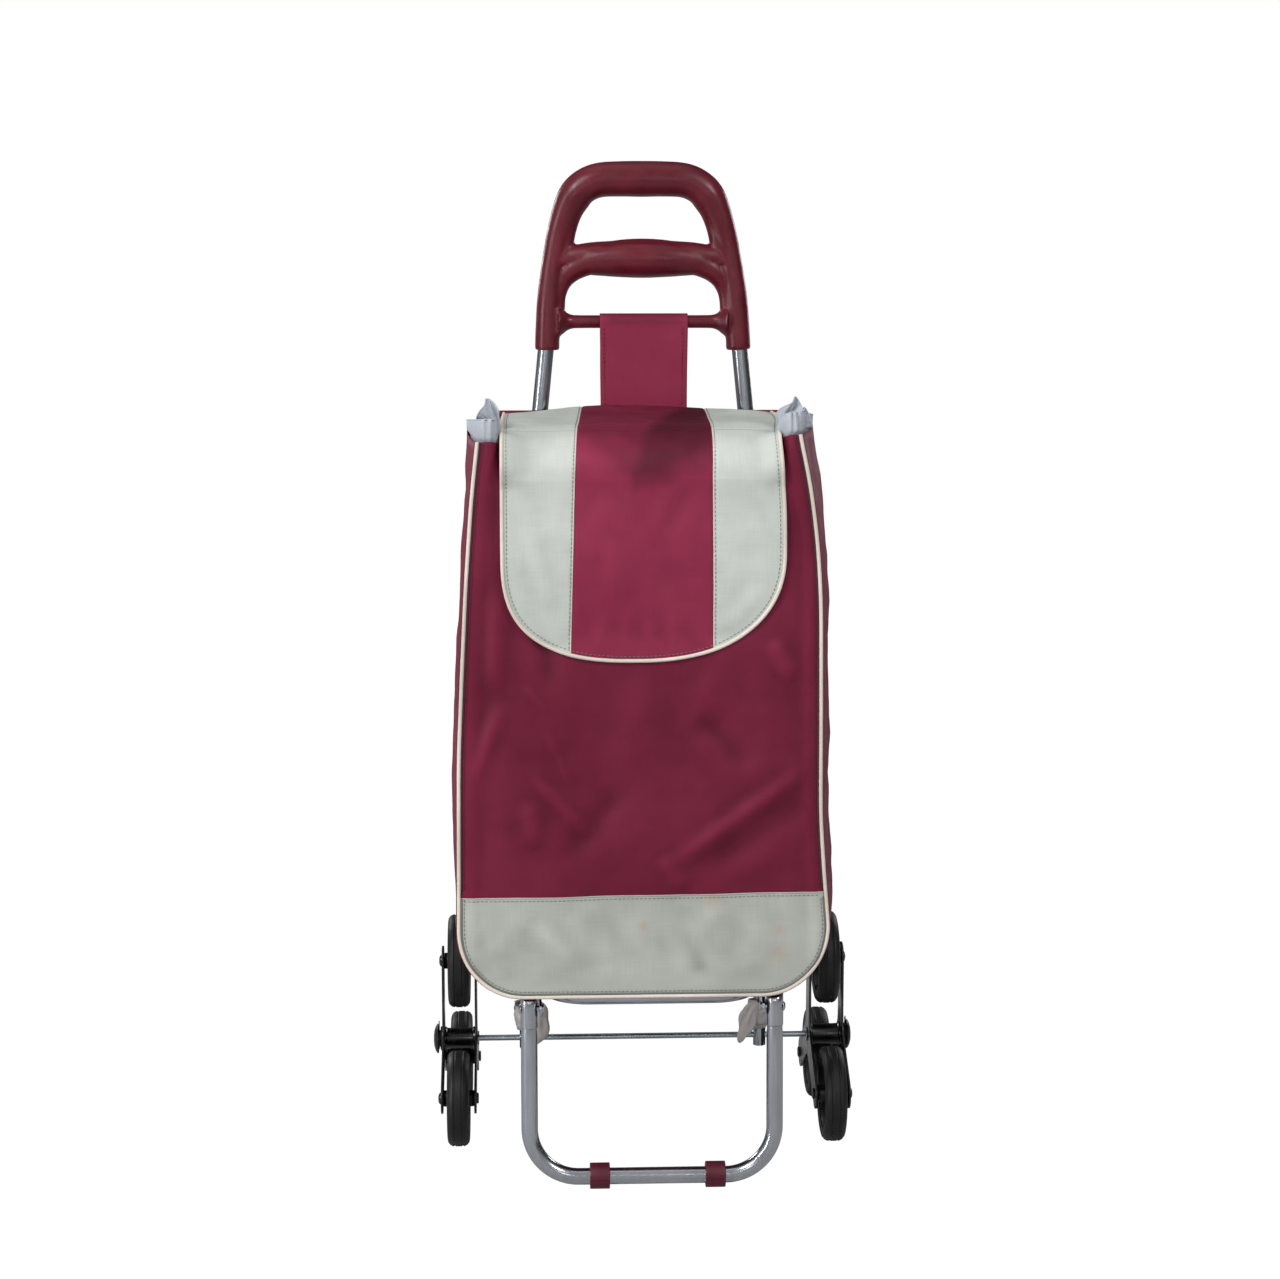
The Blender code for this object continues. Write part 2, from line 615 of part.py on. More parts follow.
def front_shift(height):
    """How far the bag's front stands to one side at a height."""
    share = (height - BAG_BOTTOM_Z) / (BAG_RIM_Z - BAG_BOTTOM_Z)
    return FRONT_SHIFT_FOOT + (FRONT_SHIFT_RIM - FRONT_SHIFT_FOOT) * share


def leaning(outline):
    return [(x + front_shift(z), z) for x, z in outline]


def bag_side(top_z, inset, bottom_z=BAG_BOTTOM_Z, corner_steps=6):
    """Right half of the bag's outline from the top down to the middle of the bottom."""
    heights = [top_z] + [z for z, _ in BAG_WIDTHS if BAG_BOTTOM_Z + BAG_CORNER < z < top_z - 0.004]
    side = [(bag_half_width(z) - inset, z) for z in heights]
    half = BAG_WIDTHS[-1][1] / 2
    drop = bottom_z + inset
    radius = (BAG_CORNER - inset, BAG_BOTTOM_Z + BAG_CORNER - drop)
    side += arc((half - BAG_CORNER, BAG_BOTTOM_Z + BAG_CORNER), radius, 0, -90, corner_steps)
    return side + [(0, drop)]


def mirrored(half):
    """A whole outline from its right half, which ends on the middle line."""
    return half + [(-x, z) for x, z in reversed(half[:-1])]


def panel_outline(top_z, bottom_z, inset):
    """The part of the front outline between two heights."""
    half = [(x, z) for x, z in bag_side(top_z, inset) if z > bottom_z + 0.002]
    half.append((bag_half_width(bottom_z) - inset, bottom_z))
    return half + [(-x, z) for x, z in reversed(half)]


def build_bag_panels():
    middle = BAG_FRONT_Y
    front = leaning(panel_outline(BAG_RIM_Z, KICK_TOP_Z + GAP, PIPING_INSET))
    flat_part("bag_front_panel", [front], CLOTH, "burgundy_nylon", (0, middle, 0))
    kick = leaning(mirrored(bag_side(KICK_TOP_Z, PIPING_INSET)))
    flat_part("bag_kick_panel", [kick], CLOTH, "grey_nylon", (0, middle, 0))
    flat_part("bag_back_panel", [mirrored(bag_side(LID_REAR_Z - 0.003, PIPING_INSET, PLATFORM_Z + 0.012))],
              CLOTH, "burgundy_nylon", (0, BAG_BACK_Y + CLOTH / 2, 0))
    path = [(x, BAG_FRONT_Y, z) for x, z in leaning(mirrored(bag_side(BAG_RIM_Z, 0)))]
    piping = tube_curve("piping_front", path, PIPING_RADIUS, resolution=1)
    add_object("piping_front", curve_to_mesh("piping_front", piping), "piping")


def build_gusset():
    """The strip round the sides and bottom; below the rim it swells outward half-way back."""
    inset = CLOTH / 2
    bottom = PLATFORM_Z + TUBE_RADIUS + GAP - inset
    front = BAG_FRONT_Y + PIPING_RADIUS + GAP
    back = BAG_BACK_Y - GAP
    half = bag_side(BAG_RIM_Z, inset, bottom)
    rows = []
    for step in range(5):
        share = step / 4
        bulge = BAG_BULGE * math.sin(math.pi * share)
        row = []
        for x, z in mirrored(half):
            rise = min(1, max(0, (z - BAG_BULGE_FROM_Z) / 0.12), 0.1 + (BAG_RIM_Z - z) / 0.13)
            across = x + math.copysign(bulge * rise, x) + front_shift(z) * (1 - share)
            row.append((across, front + (back - front) * share, z))
        rows.append(row)
    loft("bag_gusset", rows, "burgundy_nylon")


def build_collar():
    """A loose band sewn inside the rim; it stands higher beside the lid."""
    low = BAG_RIM_Z - COLLAR_DEPTH
    inset = 1.5 * CLOTH + 2 * GAP
    front = BAG_FRONT_Y + CLOTH / 2 + GAP
    back = BAG_BACK_Y - GAP
    corner = 0.020
    rows = []
    for level in (0, 1, 2):
        row = []
        centre_x = bag_half_width(low + COLLAR_HEIGHT * level / 2) - inset - corner
        for quarter, (sx, y) in enumerate(((1, back - corner), (-1, back - corner), (-1, front + corner),
                                           (1, front + corner))):
            row += arc((sx * centre_x, y), corner, 90 * quarter, 90 * quarter + 90, 4)
        lean = [front_shift(BAG_RIM_Z) * (back - y) / (back - front) for _, y in row]
        rows.append([(x + dx, y, collar_height(level, low, x + dx - LID_SHIFT))
                     for (x, y), dx in zip(row, lean)])
    loft("bag_collar", rows, "collar_cloth", close_rows=True)


def collar_height(level, low, x):
    """Height of the band's points: the lowest ones are level, the top ones rise beside the lid."""
    beside = min(1, max(0, (abs(x) - LID_WIDTH / 2 - 0.005) / 0.004))
    middle_height = COLLAR_DEPTH + 0.001
    top = low + middle_height + (COLLAR_HEIGHT - middle_height) * beside
    return low + (top - low) * level / 2


def build_base_board():
    front = BAG_FRONT_Y + 0.006
    back = BAG_BACK_Y - 0.006
    size = (0.200, back - front, 0.003)
    height = PLATFORM_Z + TUBE_RADIUS + CLOTH + 3 * GAP + size[2] / 2
    board = add_object("bag_base_board", box_mesh("board", size), "board",
                       (FRONT_SHIFT_FOOT / 2, (front + back) / 2, height))
    edge = board.modifiers.new("edges", "BEVEL")
    edge.width = 0.001


# ---------------------------------------------------------------- lid, strap and ties
def build_lid():
    """A top panel hinged at the back and a flap hinged at its front edge."""
    rear_y = BAG_BACK_Y - 0.001
    front_y = BAG_FRONT_Y - CLOTH / 2 - 0.0015
    hinge = add_empty("lid_hinge", (0, rear_y, LID_REAR_Z))
    slope = math.atan2(LID_REAR_Z - LID_FRONT_Z, rear_y - front_y)
    length = math.hypot(rear_y - front_y, LID_REAR_Z - LID_FRONT_Z) - GAP
    size = (LID_WIDTH, length, CLOTH)
    centre = (LID_SHIFT, (rear_y + front_y) / 2, (LID_REAR_Z + LID_FRONT_Z) / 2)
    top = add_object("lid_top_panel", box_mesh("lid_top", size), "grey_nylon", centre, (slope, 0, 0))
    attach(top, hinge)
    fold = add_empty("flap_hinge", (0, front_y, LID_FRONT_Z))
    half = LID_WIDTH / 2
    low = FLAP_BOTTOM_Z + FLAP_CORNER_Z
    outline = [(half, LID_FRONT_Z - 0.0015)]
    outline += arc((half - FLAP_CORNER_X, low), (FLAP_CORNER_X, FLAP_CORNER_Z), 0, -90, 7)
    outline += [(-x, z) for x, z in reversed(outline)]
    flap = flat_part("lid_front_flap", [outline], CLOTH, "grey_nylon", (FLAP_SHIFT, front_y, 0))
    attach(flap, fold)
    attach(fold, hinge)


def build_strap():
    """A band from behind the bag's top edge up to a loop round the handle's crossbar."""
    inner = CROSSBAR_RADIUS + GAP
    outer = inner + CLOTH
    low = LID_REAR_Z - 0.026
    outline = [(-outer, low - CROSSBAR_Z)]
    outline += arc((0, 0), outer, 180, -141, 14)
    outline += [(-inner, -inner - 0.004), (-inner, low - CROSSBAR_Z)]
    hole = circle((0, 0), inner, SMALL_STEPS)
    flat_part("hanging_strap", (outline, hole), STRAP_WIDTH, "burgundy_nylon", (0, POST_Y, CROSSBAR_Z),
              (math.pi / 2, 0, math.pi / 2))


def build_ties():
    """Knotted strips of cloth round the posts, just above the axle."""
    inner = POST_SWAGE_RADIUS + GAP
    for side, sign in SIDES:
        profile = [(TIE_RADIUS - 0.002, 0.014), (TIE_RADIUS, 0.006), (TIE_RADIUS, -0.006),
                   (TIE_RADIUS - 0.002, -0.014), (inner, -0.014), (inner, 0.014)]
        turned(f"tie_{side}", profile, "collar_cloth", (sign * POST_X, POST_Y, HUB_Z + 0.020), (0, 0, 0),
               ring=True)


build_posts()
build_cross_tubes()
build_platform()
build_brackets()
build_foot(add_empty("foot_hinge", (0, PIVOT_Y, PIVOT_Z)))
build_rivets()
build_stars()
build_axle()
build_handle()
build_bag_panels()
build_gusset()
build_collar()
build_base_board()
build_lid()
build_strap()
build_ties()
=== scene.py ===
"""The visual model of a shopping trolley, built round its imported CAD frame.

Metres, +Z up, the bag's front faces -Y.  "left" is the -X side and "right" is the +X side.
"""
import math

import bmesh
import bpy
import numpy as np
from mathutils import Matrix, Vector, noise


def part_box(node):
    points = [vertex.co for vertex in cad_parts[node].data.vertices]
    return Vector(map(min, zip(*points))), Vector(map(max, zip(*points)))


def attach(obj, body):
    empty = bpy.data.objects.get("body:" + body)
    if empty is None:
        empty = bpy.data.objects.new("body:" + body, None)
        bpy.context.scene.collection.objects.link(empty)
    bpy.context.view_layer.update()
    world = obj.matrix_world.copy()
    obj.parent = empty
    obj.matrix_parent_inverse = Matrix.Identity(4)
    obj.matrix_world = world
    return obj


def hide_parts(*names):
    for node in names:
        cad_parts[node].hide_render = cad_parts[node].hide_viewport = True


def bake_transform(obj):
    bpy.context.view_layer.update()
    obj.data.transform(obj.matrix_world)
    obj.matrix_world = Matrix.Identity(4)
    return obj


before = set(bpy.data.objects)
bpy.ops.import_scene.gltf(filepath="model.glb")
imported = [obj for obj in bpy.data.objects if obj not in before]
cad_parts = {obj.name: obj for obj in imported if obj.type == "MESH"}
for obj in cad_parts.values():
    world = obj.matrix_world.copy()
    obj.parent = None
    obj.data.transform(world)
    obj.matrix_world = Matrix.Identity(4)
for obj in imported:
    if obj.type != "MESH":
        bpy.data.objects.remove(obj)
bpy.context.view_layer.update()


# ---------------------------------------------------------------- sizes read from the frame
def middle(node):
    """The middle of a CAD node's box."""
    low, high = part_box(node)
    return (low + high) / 2


def size(node):
    """The three sides of a CAD node's box."""
    low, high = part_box(node)
    return high - low


SIDES = (("left", -1), ("right", 1))
WHEELS = ("a", "b", "c")
POST_Y = middle("post_left").y
HUB_Z = middle("star_hub_left").z
STAR_X = middle("star_hub_right").x
FRONT_Y = middle("bag_front_panel").y
BACK_Y = middle("bag_back_panel").y
RIM_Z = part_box("bag_front_panel")[1].z
BOTTOM_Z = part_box("bag_kick_panel")[0].z - 0.002
KICK_TOP_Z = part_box("bag_kick_panel")[1].z
PLATFORM_Z = middle("platform_frame").z
LID_FRONT_Y = middle("lid_front_flap").y
LID_REAR_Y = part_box("lid_top_panel")[1].y
FLAP_BOTTOM_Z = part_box("lid_front_flap")[0].z
AXLE_END_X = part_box("axle")[1].x

# ---------------------------------------------------------------- other driving sizes
TUBE_RADIUS = 0.008
POST_X = 0.1219
FOOT_LEG_X = 0.1186
FOOT_BEND = 0.0475
WHEEL_RADIUS = 0.048
STAR_RADIUS = 0.083             # from the axle to the wheels' pins
PLATE = 0.0023                  # thickness of the stars and the hinge plates
POST_BEND_Z = 0.559             # the posts lean inward above this height
SWAGE_Z = 0.150                 # and are thinner below this one
PLATFORM_FRONT = (0.0985, POST_Y - 0.187)    # x and y of the platform's front corners
FIT = 0.0003                    # gap between parts that slide into or lie on each other
BAR_Z = 0.830                   # the handle's crossbar
CLOTH = 0.0009                  # thickness of the woven cloth
STITCH = 0.0028                 # length of a stitch
STITCH_GAP = 0.0013
THREAD_RADIUS = 0.00034
PIPING_RADIUS = 0.0018
BAG_CORNER = (0.062, 0.066)     # across and up, of the bag's lower corners
LID_REAR_Z = 0.745
BACK_RIM_Z = RIM_Z + 0.010
BACK_BOTTOM_Z = PLATFORM_Z + TUBE_RADIUS + 0.0012
FRONT_KNEE_Z = BOTTOM_Z + BAG_CORNER[1]         # the lower corners begin here
BACK_KNEE_Z = BACK_BOTTOM_Z + BAG_CORNER[1]
HALF_OUTLINE = 90               # points from a rim to the middle of the bottom
FLAP_HALF = 0.1323              # half the flap's width
FLAP_MIDDLE_X = -0.0088
FLAP_ROUND_Z = 0.620            # where the flap's sides start to curve in
FLAP_POWER = {-1: 2.8, 1: 2.3}  # of the flap's superellipse on the left and the right
COLLAR_HEIGHT = 0.020
RIM_SAG = 0.0105                # how far the front rim sinks under the lid
RIM_TUCK = 0.036                # how far it is pulled back there
TUCK_HEIGHT = 0.050             # over this height
ROOM_FRONT = 0.62               # brightness of the room in front and behind
ROOM_BACK = 0.08
# height and x of the bag's front edges, from the rim down
LEFT_EDGE = ((0.740, -0.1618), (0.679, -0.1690), (0.595, -0.1752), (0.510, -0.1797), (0.424, -0.1836),
             (0.337, -0.1843), (0.250, -0.1850))
RIGHT_EDGE = ((0.740, 0.1345), (0.679, 0.1478), (0.623, 0.1552), (0.567, 0.1586), (0.453, 0.1597),
              (0.366, 0.1600), (0.308, 0.1640), (0.250, 0.1692))
BACK_EDGE = ((0.748, 0.156), (0.727, 0.158), (0.656, 0.1635), (0.584, 0.166), (0.499, 0.170),
             (0.403, 0.172), (0.292, 0.1735), (0.257, 0.175))
# how far out the sides stand half-way between the front and the back
LEFT_SIDE = ((0.745, -0.1735), (0.679, -0.1752), (0.623, -0.1790), (0.567, -0.1820), (0.510, -0.1865),
             (0.453, -0.1890), (0.366, -0.1895), (0.308, -0.1880), (0.260, -0.1860))
RIGHT_SIDE = ((0.745, 0.1580), (0.679, 0.1665), (0.623, 0.1725), (0.567, 0.1765), (0.453, 0.1775),
              (0.366, 0.1775), (0.308, 0.1800), (0.260, 0.1820))


# x, height and radius of the kick panel's stains
KICK_STAINS = ((0.059, 0.286, 0.016), (0.121, 0.256, 0.010), (0.122, 0.232, 0.018), (-0.01, 0.262, 0.010))


# ---------------------------------------------------------------- materials
def linear(code):
    """A hex colour in linear RGBA."""
    channels = [int(code[i:i + 2], 16) / 255 for i in (0, 2, 4)]
    return (*[c / 12.92 if c <= 0.04045 else ((c + 0.055) / 1.055) ** 2.4 for c in channels], 1.0)


class Finish:
    """A procedural material and short ways to add nodes to it."""

    def __init__(self, name, colour, roughness, **sockets):
        """Start from a plain finish; sockets are further inputs, with _ for a space."""
        self.material = bpy.data.materials.new(name)
        self.material.use_nodes = True
        self.tree = self.material.node_tree
        self.shader = self.tree.nodes["Principled BSDF"]
        self.normal = None
        self.set(self.shader, "Base Color", linear(colour))
        self.set(self.shader, "Roughness", roughness)
        for key, value in sockets.items():
            self.set(self.shader, key.replace("_", " "), value)
        self.material.diffuse_color = linear(colour)

    def set(self, node, key, value):
        """Give an input a value, or link it to another node's output."""
        socket = node.inputs[key]
        if isinstance(value, bpy.types.NodeSocket):
            self.tree.links.new(value, socket)
        else:
            socket.default_value = value

    def add(self, kind, settings=(), **inputs):
        """A new shader node with settings, and inputs given as values or links."""
        node = self.tree.nodes.new("ShaderNode" + kind)
        for key, value in dict(settings).items():
            setattr(node, key, value)
        for key, value in inputs.items():
            self.set(node, key.replace("_", " "), value)
        return node

    def coordinates(self, kind="Object", scale=(1, 1, 1)):
        """Texture coordinates, stretched by a scale on each axis."""
        source = self.add("TexCoord").outputs[kind]
        return self.add("Mapping", Vector=source, Scale=scale).outputs["Vector"]

    def noise(self, scale, detail=3.0, stretch=(1, 1, 1), kind="Object", distortion=0.0):
        """Noise from 0 to 1 with about scale bumps in a metre."""
        where = self.coordinates(kind, stretch)
        node = self.add("TexNoise", Vector=where, Scale=scale, Detail=detail, Distortion=distortion)
        return node.outputs["Fac"]

    def maths(self, operation, first, second=0.0):
        """The result of one sum on two values."""
        node = self.add("Math", {"operation": operation})
        self.set(node, 0, first)
        self.set(node, 1, second)
        return node.outputs[0]

    def spread(self, value, low, high, start=0.0, end=1.0):
        """A value between two limits, mapped to another range."""
        node = self.add("MapRange", {"interpolation_type": "SMOOTHSTEP"}, Value=value,
                        From_Min=low, From_Max=high, To_Min=start, To_Max=end)
        return node.outputs["Result"]

    def mixed(self, share, first, second, blend="MIX"):
        """A mix of two colours, given as hex codes or links."""
        node = self.add("Mix", {"data_type": "RGBA", "blend_type": blend})
        self.set(node, 0, share)
        self.set(node, 6, linear(first) if isinstance(first, str) else first)
        self.set(node, 7, linear(second) if isinstance(second, str) else second)
        return node.outputs[2]

    def grey(self, value):
        """A value as a grey colour."""
        return self.add("CombineXYZ", X=value, Y=value, Z=value).outputs[0]

    def colour(self, value):
        """Link the base colour."""
        self.set(self.shader, "Base Color", value)

    def roughness(self, value):
        """Link the roughness."""
        self.set(self.shader, "Roughness", value)

    def bump(self, height, distance, strength=1.0):
        """Add relief over any relief that is there already."""
        node = self.add("Bump", Height=height, Distance=distance, Strength=strength)
        if self.normal:
            self.set(node, "Normal", self.normal)
        self.normal = node.outputs["Normal"]
        self.set(self.shader, "Normal", self.normal)

    def weave(self, pitch):
        """A plain weave from -1 to 1, on UVs in metres."""
        place = self.add("SeparateXYZ", Vector=self.add("TexCoord").outputs["UV"])
        turn = 2 * math.pi / pitch
        warp = self.maths("SINE", self.maths("MULTIPLY", place.outputs["X"], turn))
        weft = self.maths("SINE", self.maths("MULTIPLY", place.outputs["Y"], turn))
        return self.maths("MULTIPLY", warp, weft)


def woven(name, dark, light, pitch=0.0009, roughness=0.56, crumple=0.0011):
    """Woven nylon: yarns, slubs, cloudy colour, painted shade in hollows and painted light on ridges, and
    small creases.
    """
    cloth = Finish(name, light, roughness, Specular_IOR_Level=0.14)
    cloud = cloth.spread(cloth.noise(9.0, 4.0), 0.32, 0.68)
    shade = cloth.mixed(cloud, dark, light)
    slub_across = cloth.noise(34.0, 2.0, (1.0, 34.0, 1.0), "UV")
    slub_down = cloth.noise(34.0, 2.0, (34.0, 1.0, 1.0), "UV")
    slub = cloth.maths("ADD", slub_across, slub_down)
    tone = cloth.spread(slub, 0.75, 1.25, 0.955, 1.035)
    yarns = cloth.spread(cloth.weave(pitch), -1.0, 1.0, 0.92, 1.05)
    # painted shade and light: the 'shade' attribute darkens the colour in the cloth's hollows and lightens it
    # on its ridges
    folds = cloth.add("Attribute", {"attribute_name": "shade"}).outputs["Fac"]
    hollow = cloth.spread(folds, -3.0, 1.0, 0.10, 1.26)
    for layer in (tone, yarns, hollow):
        shade = cloth.mixed(1.0, shade, cloth.grey(layer), "MULTIPLY")
    cloth.colour(shade)
    cloth.roughness(cloth.spread(cloth.noise(45.0, 3.0), 0.3, 0.7, roughness - 0.06, roughness + 0.07))
    cloth.bump(cloth.noise(26.0, 4.0, distortion=0.6), crumple, 0.55)
    cloth.bump(cloth.noise(110.0, 3.0), 0.00028, 0.5)
    cloth.bump(cloth.weave(pitch), 0.00006, 0.6)
    return cloth


def stained(cloth, spots):
    """Faint brown marks at (x, z, radius) places on a front panel."""
    place = cloth.add("SeparateXYZ", Vector=cloth.coordinates())
    ragged = cloth.spread(cloth.noise(120.0, 4.0), 0.3, 0.7, 0.2, 1.0)
    base = cloth.shader.inputs["Base Color"].links[0].from_socket
    for x, z, radius in spots:
        across = cloth.maths("POWER", cloth.maths("SUBTRACT", place.outputs["X"], x), 2.0)
        up = cloth.maths("POWER", cloth.maths("SUBTRACT", place.outputs["Z"], z), 2.0)
        away = cloth.maths("SQRT", cloth.maths("ADD", across, up))
        share = cloth.maths("MULTIPLY", cloth.spread(away, 0.0, radius, 0.38, 0.0), ragged)
        base = cloth.mixed(share, base, "A98A6C")
    cloth.colour(base)


def moulded(name, dark, light, roughness, grain=0.00012, specular=0.5):
    """Moulded plastic: cloudy colour, fine grain and slight unevenness."""
    plastic = Finish(name, light, roughness, Specular_IOR_Level=specular)
    cloud = plastic.spread(plastic.noise(38.0, 4.0), 0.3, 0.7)
    plastic.colour(plastic.mixed(cloud, dark, light))
    plastic.roughness(plastic.spread(plastic.noise(60.0, 4.0), 0.3, 0.7, roughness - 0.06, roughness + 0.10))
    plastic.bump(plastic.noise(24.0, 1.0), 0.0007, 0.3)
    plastic.bump(plastic.noise(700.0, 3.0), grain, 0.5)
    return plastic


def plated(name, dark, light, roughness, scratch_axis):
    """Plated or powder-coated metal with faint lines along one axis and scuffs."""
    metal = Finish(name, light, roughness, Metallic=1.0, Specular_IOR_Level=0.5)
    stretch = [420.0, 420.0, 420.0]
    stretch[scratch_axis] = 6.0
    lines = metal.noise(1.0, 3.0, tuple(stretch))
    blotch = metal.noise(22.0, 4.0)
    share = metal.spread(metal.maths("ADD", lines, blotch), 0.7, 1.3)
    metal.colour(metal.mixed(share, dark, light))
    metal.roughness(metal.spread(blotch, 0.3, 0.7, roughness - 0.02, roughness + 0.04))
    return metal


def make_materials():
    """Every material of the trolley, by a short name."""
    made = {
        "bag": woven("bag_nylon", "5E152B", "681B33"),
        "centre": woven("lid_burgundy_nylon", "75203A", "7F2741"),
        "grey": woven("lid_grey_nylon", "ABB0AA", "B3B8B2"),
        "kick": woven("kick_grey_nylon", "9C9E98", "A5A7A1"),
        "strap": woven("strap_nylon", "76213A", "802842", crumple=0.0005),
        "binding": woven("binding_tape", "5A1228", "701C38", pitch=0.0006, crumple=0.0004),
        "collar": woven("collar_lining", "9EA3AC", "B0B5BE", pitch=0.0005, roughness=0.72),
        "tie": woven("tie_strip", "A09B99", "C0BBB9", pitch=0.0007, roughness=0.75),
        "piping": woven("piping_cord", "BFB5AB", "D6CCC3", pitch=0.0007, roughness=0.6, crumple=0.0004),
        "dark_thread": Finish("dark_thread", "41101E", 0.7),
        "grey_thread": Finish("grey_thread", "666A63", 0.7),
        "handle": moulded("handle_moulding", "500D1B", "5D1422", 0.33, specular=0.33),
        "clip": moulded("clip_moulding", "460D1C", "521428", 0.42, specular=0.3),
        "tube": plated("tube_coat", "A2A6AD", "B0B4BA", 0.19, 2),
        "tube_across": plated("tube_coat_across", "A2A6AD", "B0B4BA", 0.19, 0),
        "zinc": plated("zinc_plate", "8E9BA2", "B9C4CA", 0.24, 0),
        "enamel": moulded("black_enamel", "060607", "0C0C0D", 0.24, grain=0.00004),
        "black": moulded("black_moulding", "070708", "0E0E0F", 0.38, specular=0.4),
        "tyre": moulded("black_rubber", "08080A", "101011", 0.50, grain=0.0002, specular=0.35),
        "board": moulded("board_skin", "2E2C2C", "3C3A3A", 0.8),
    }
    stained(made["kick"], KICK_STAINS)
    return {key: finish.material for key, finish in made.items()}


MATERIALS = make_materials()


# ---------------------------------------------------------------- mesh helpers
def grid_faces(rows, columns, closed_rows=False, closed_columns=True, base=0):
    """Four-sided faces between the neighbours of a grid of points stored row by row."""
    faces = []
    for row in range(rows if closed_rows else rows - 1):
        near = base + row * columns
        far = base + (row + 1) % rows * columns
        for column in range(columns if closed_columns else columns - 1):
            after = (column + 1) % columns
            faces.append((near + column, near + after, far + after, far + column))
    return faces


def end_caps(rows, columns, base=0):
    """The two faces that close the ends of a tube made by grid_faces."""
    last = base + (rows - 1) * columns
    return [tuple(range(base + columns - 1, base - 1, -1)), tuple(range(last, last + columns))]


def around(count):
    """Evenly spaced angles of a full turn."""
    return [2 * math.pi * step / count for step in range(count)]


def polar(radius, angle):
    """The point at a distance and an angle in degrees from the origin."""
    return radius * math.cos(math.radians(angle)), radius * math.sin(math.radians(angle))


def add_mesh(name, points, faces, material, uvs=None):
    """A smooth object in the scene; uvs are for each point."""
    mesh = bpy.data.meshes.new(name)
    mesh.from_pydata([tuple(point) for point in points], [], faces)
    if uvs is not None:
        layer = mesh.uv_layers.new(name="UVMap")
        corners = np.empty(len(mesh.loops), np.int32)
        mesh.loops.foreach_get("vertex_index", corners)
        layer.data.foreach_set("uv", np.asarray(uvs, np.float32)[corners].ravel())
    mesh.materials.append(MATERIALS[material])
    mesh.shade_smooth()
    item = bpy.data.objects.new(name, mesh)
    bpy.context.scene.collection.objects.link(item)
    return item


def tidy_mesh(item, merge=0.000002):
    """Merge coincident points, turn faces outward and keep sharp edges sharp."""
    shape = bmesh.new()
    shape.from_mesh(item.data)
    bmesh.ops.remove_doubles(shape, verts=shape.verts, dist=merge)
    bmesh.ops.recalc_face_normals(shape, faces=shape.faces)
    shape.to_mesh(item.data)
    shape.free()
    item.data.shade_smooth()
    item.data.set_sharp_from_angle(angle=math.radians(35))
    return item


def stand_in(item, body, slot, *nodes):
    """The piece rides on a body and stands for CAD nodes; slot is not used."""
    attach(item, body)
    if nodes:
        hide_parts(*nodes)
    return item


def apply_modifiers(item):
    """Turn a mesh object's modifiers into its mesh."""
    graph = bpy.context.evaluated_depsgraph_get()
    mesh = bpy.data.meshes.new_from_object(item.evaluated_get(graph))
    old = item.data
    item.modifiers.clear()
    item.data = mesh
    mesh.name = old.name
    return item


def joined(items):
    """Join several mesh objects into the first."""
    bpy.ops.object.select_all(action="DESELECT")
    for item in items:
        item.select_set(True)
    bpy.context.view_layer.objects.active = items[0]
    bpy.ops.object.join()
    return items[0]


def rounded(points, radius, steps=4, closed=True):
    """A 2D line with its corners rounded."""
    result = []
    count = len(points)
    for index, point in enumerate(points):
        if not closed and index in (0, count - 1):
            result.append(tuple(point))
            continue
        corner = Vector(point)
        before = Vector(points[index - 1]) - corner
        after = Vector(points[(index + 1) % count]) - corner
        reach = min(radius, before.length * 0.45, after.length * 0.45)
        start = corner + before.normalized() * reach
        end = corner + after.normalized() * reach
        for step in range(steps + 1):
            share = step / steps
            place = start * (1 - share) ** 2 + corner * (2 * share * (1 - share)) + end * share ** 2
            result.append(tuple(place))
    return result


def lathe(name, profile, material, origin, sign=1, steps=96):
    """Turn a closed loop of (radius, along) points about the X axis through the origin."""
    points = []
    for angle in around(steps):
        out = Vector((0, math.cos(angle), math.sin(angle)))
        points += [Vector(origin) + Vector((sign * along, 0, 0)) + out * radius for radius, along in profile]
    return tidy_mesh(add_mesh(name, points, grid_faces(steps, len(profile), closed_rows=True), material))


def pin_profile(outer, inner, head, tail):
    """A pin's (radius, along) profile: its head outside one face and its tail inside another."""
    return [(radius, outer + out) for radius, out in head] + [(radius, inner + out) for radius, out in tail]


def frames_along(points):
    """Two directions across a path at each point, without twist."""
    places = [Vector(point) for point in points]
    count = len(places)
    tangents = [(places[min(i + 1, count - 1)] - places[max(i - 1, 0)]).normalized()
                for i in range(count)]
    side = tangents[0].orthogonal().normalized()
    pairs = []
    for tangent in tangents:
        side = (side - tangent * side.dot(tangent)).normalized()
        pairs.append((side, tangent.cross(side)))
    return pairs


def sweep(name, path, radius, material, sides=24):
    """A tube along a path; radius is one number or one for each point."""
    count = len(path)
    radii = radius if isinstance(radius, (list, tuple)) else [radius] * count
    points = []
    uvs = []
    along = 0.0
    for index, (place, (first, second)) in enumerate(zip(path, frames_along(path))):
        if index:
            along += (Vector(place) - Vector(path[index - 1])).length
        for angle in around(sides):
            out = first * math.cos(angle) + second * math.sin(angle)
            points.append(Vector(place) + out * radii[index])
            uvs.append((angle * radii[index], along))
    item = add_mesh(name, points, grid_faces(count, sides) + end_caps(count, sides), material, uvs)
    item.data.set_sharp_from_angle(angle=math.radians(50))
    return item


def smooth_path(points, steps=8):
    """A Catmull-Rom curve through points of any number of coordinates."""
    known = [np.array(point, float) for point in points]
    known = [2 * known[0] - known[1]] + known + [2 * known[-1] - known[-2]]
    result = []
    for before, start, end, after in zip(known, known[1:], known[2:], known[3:]):
        for step in range(steps):
            t = step / steps
            result.append(0.5 * (2 * start + (end - before) * t
                                 + (2 * before - 5 * start + 4 * end - after) * t ** 2
                                 + (3 * start - before - 3 * end + after) * t ** 3))
    result.append(known[-2])
    return result


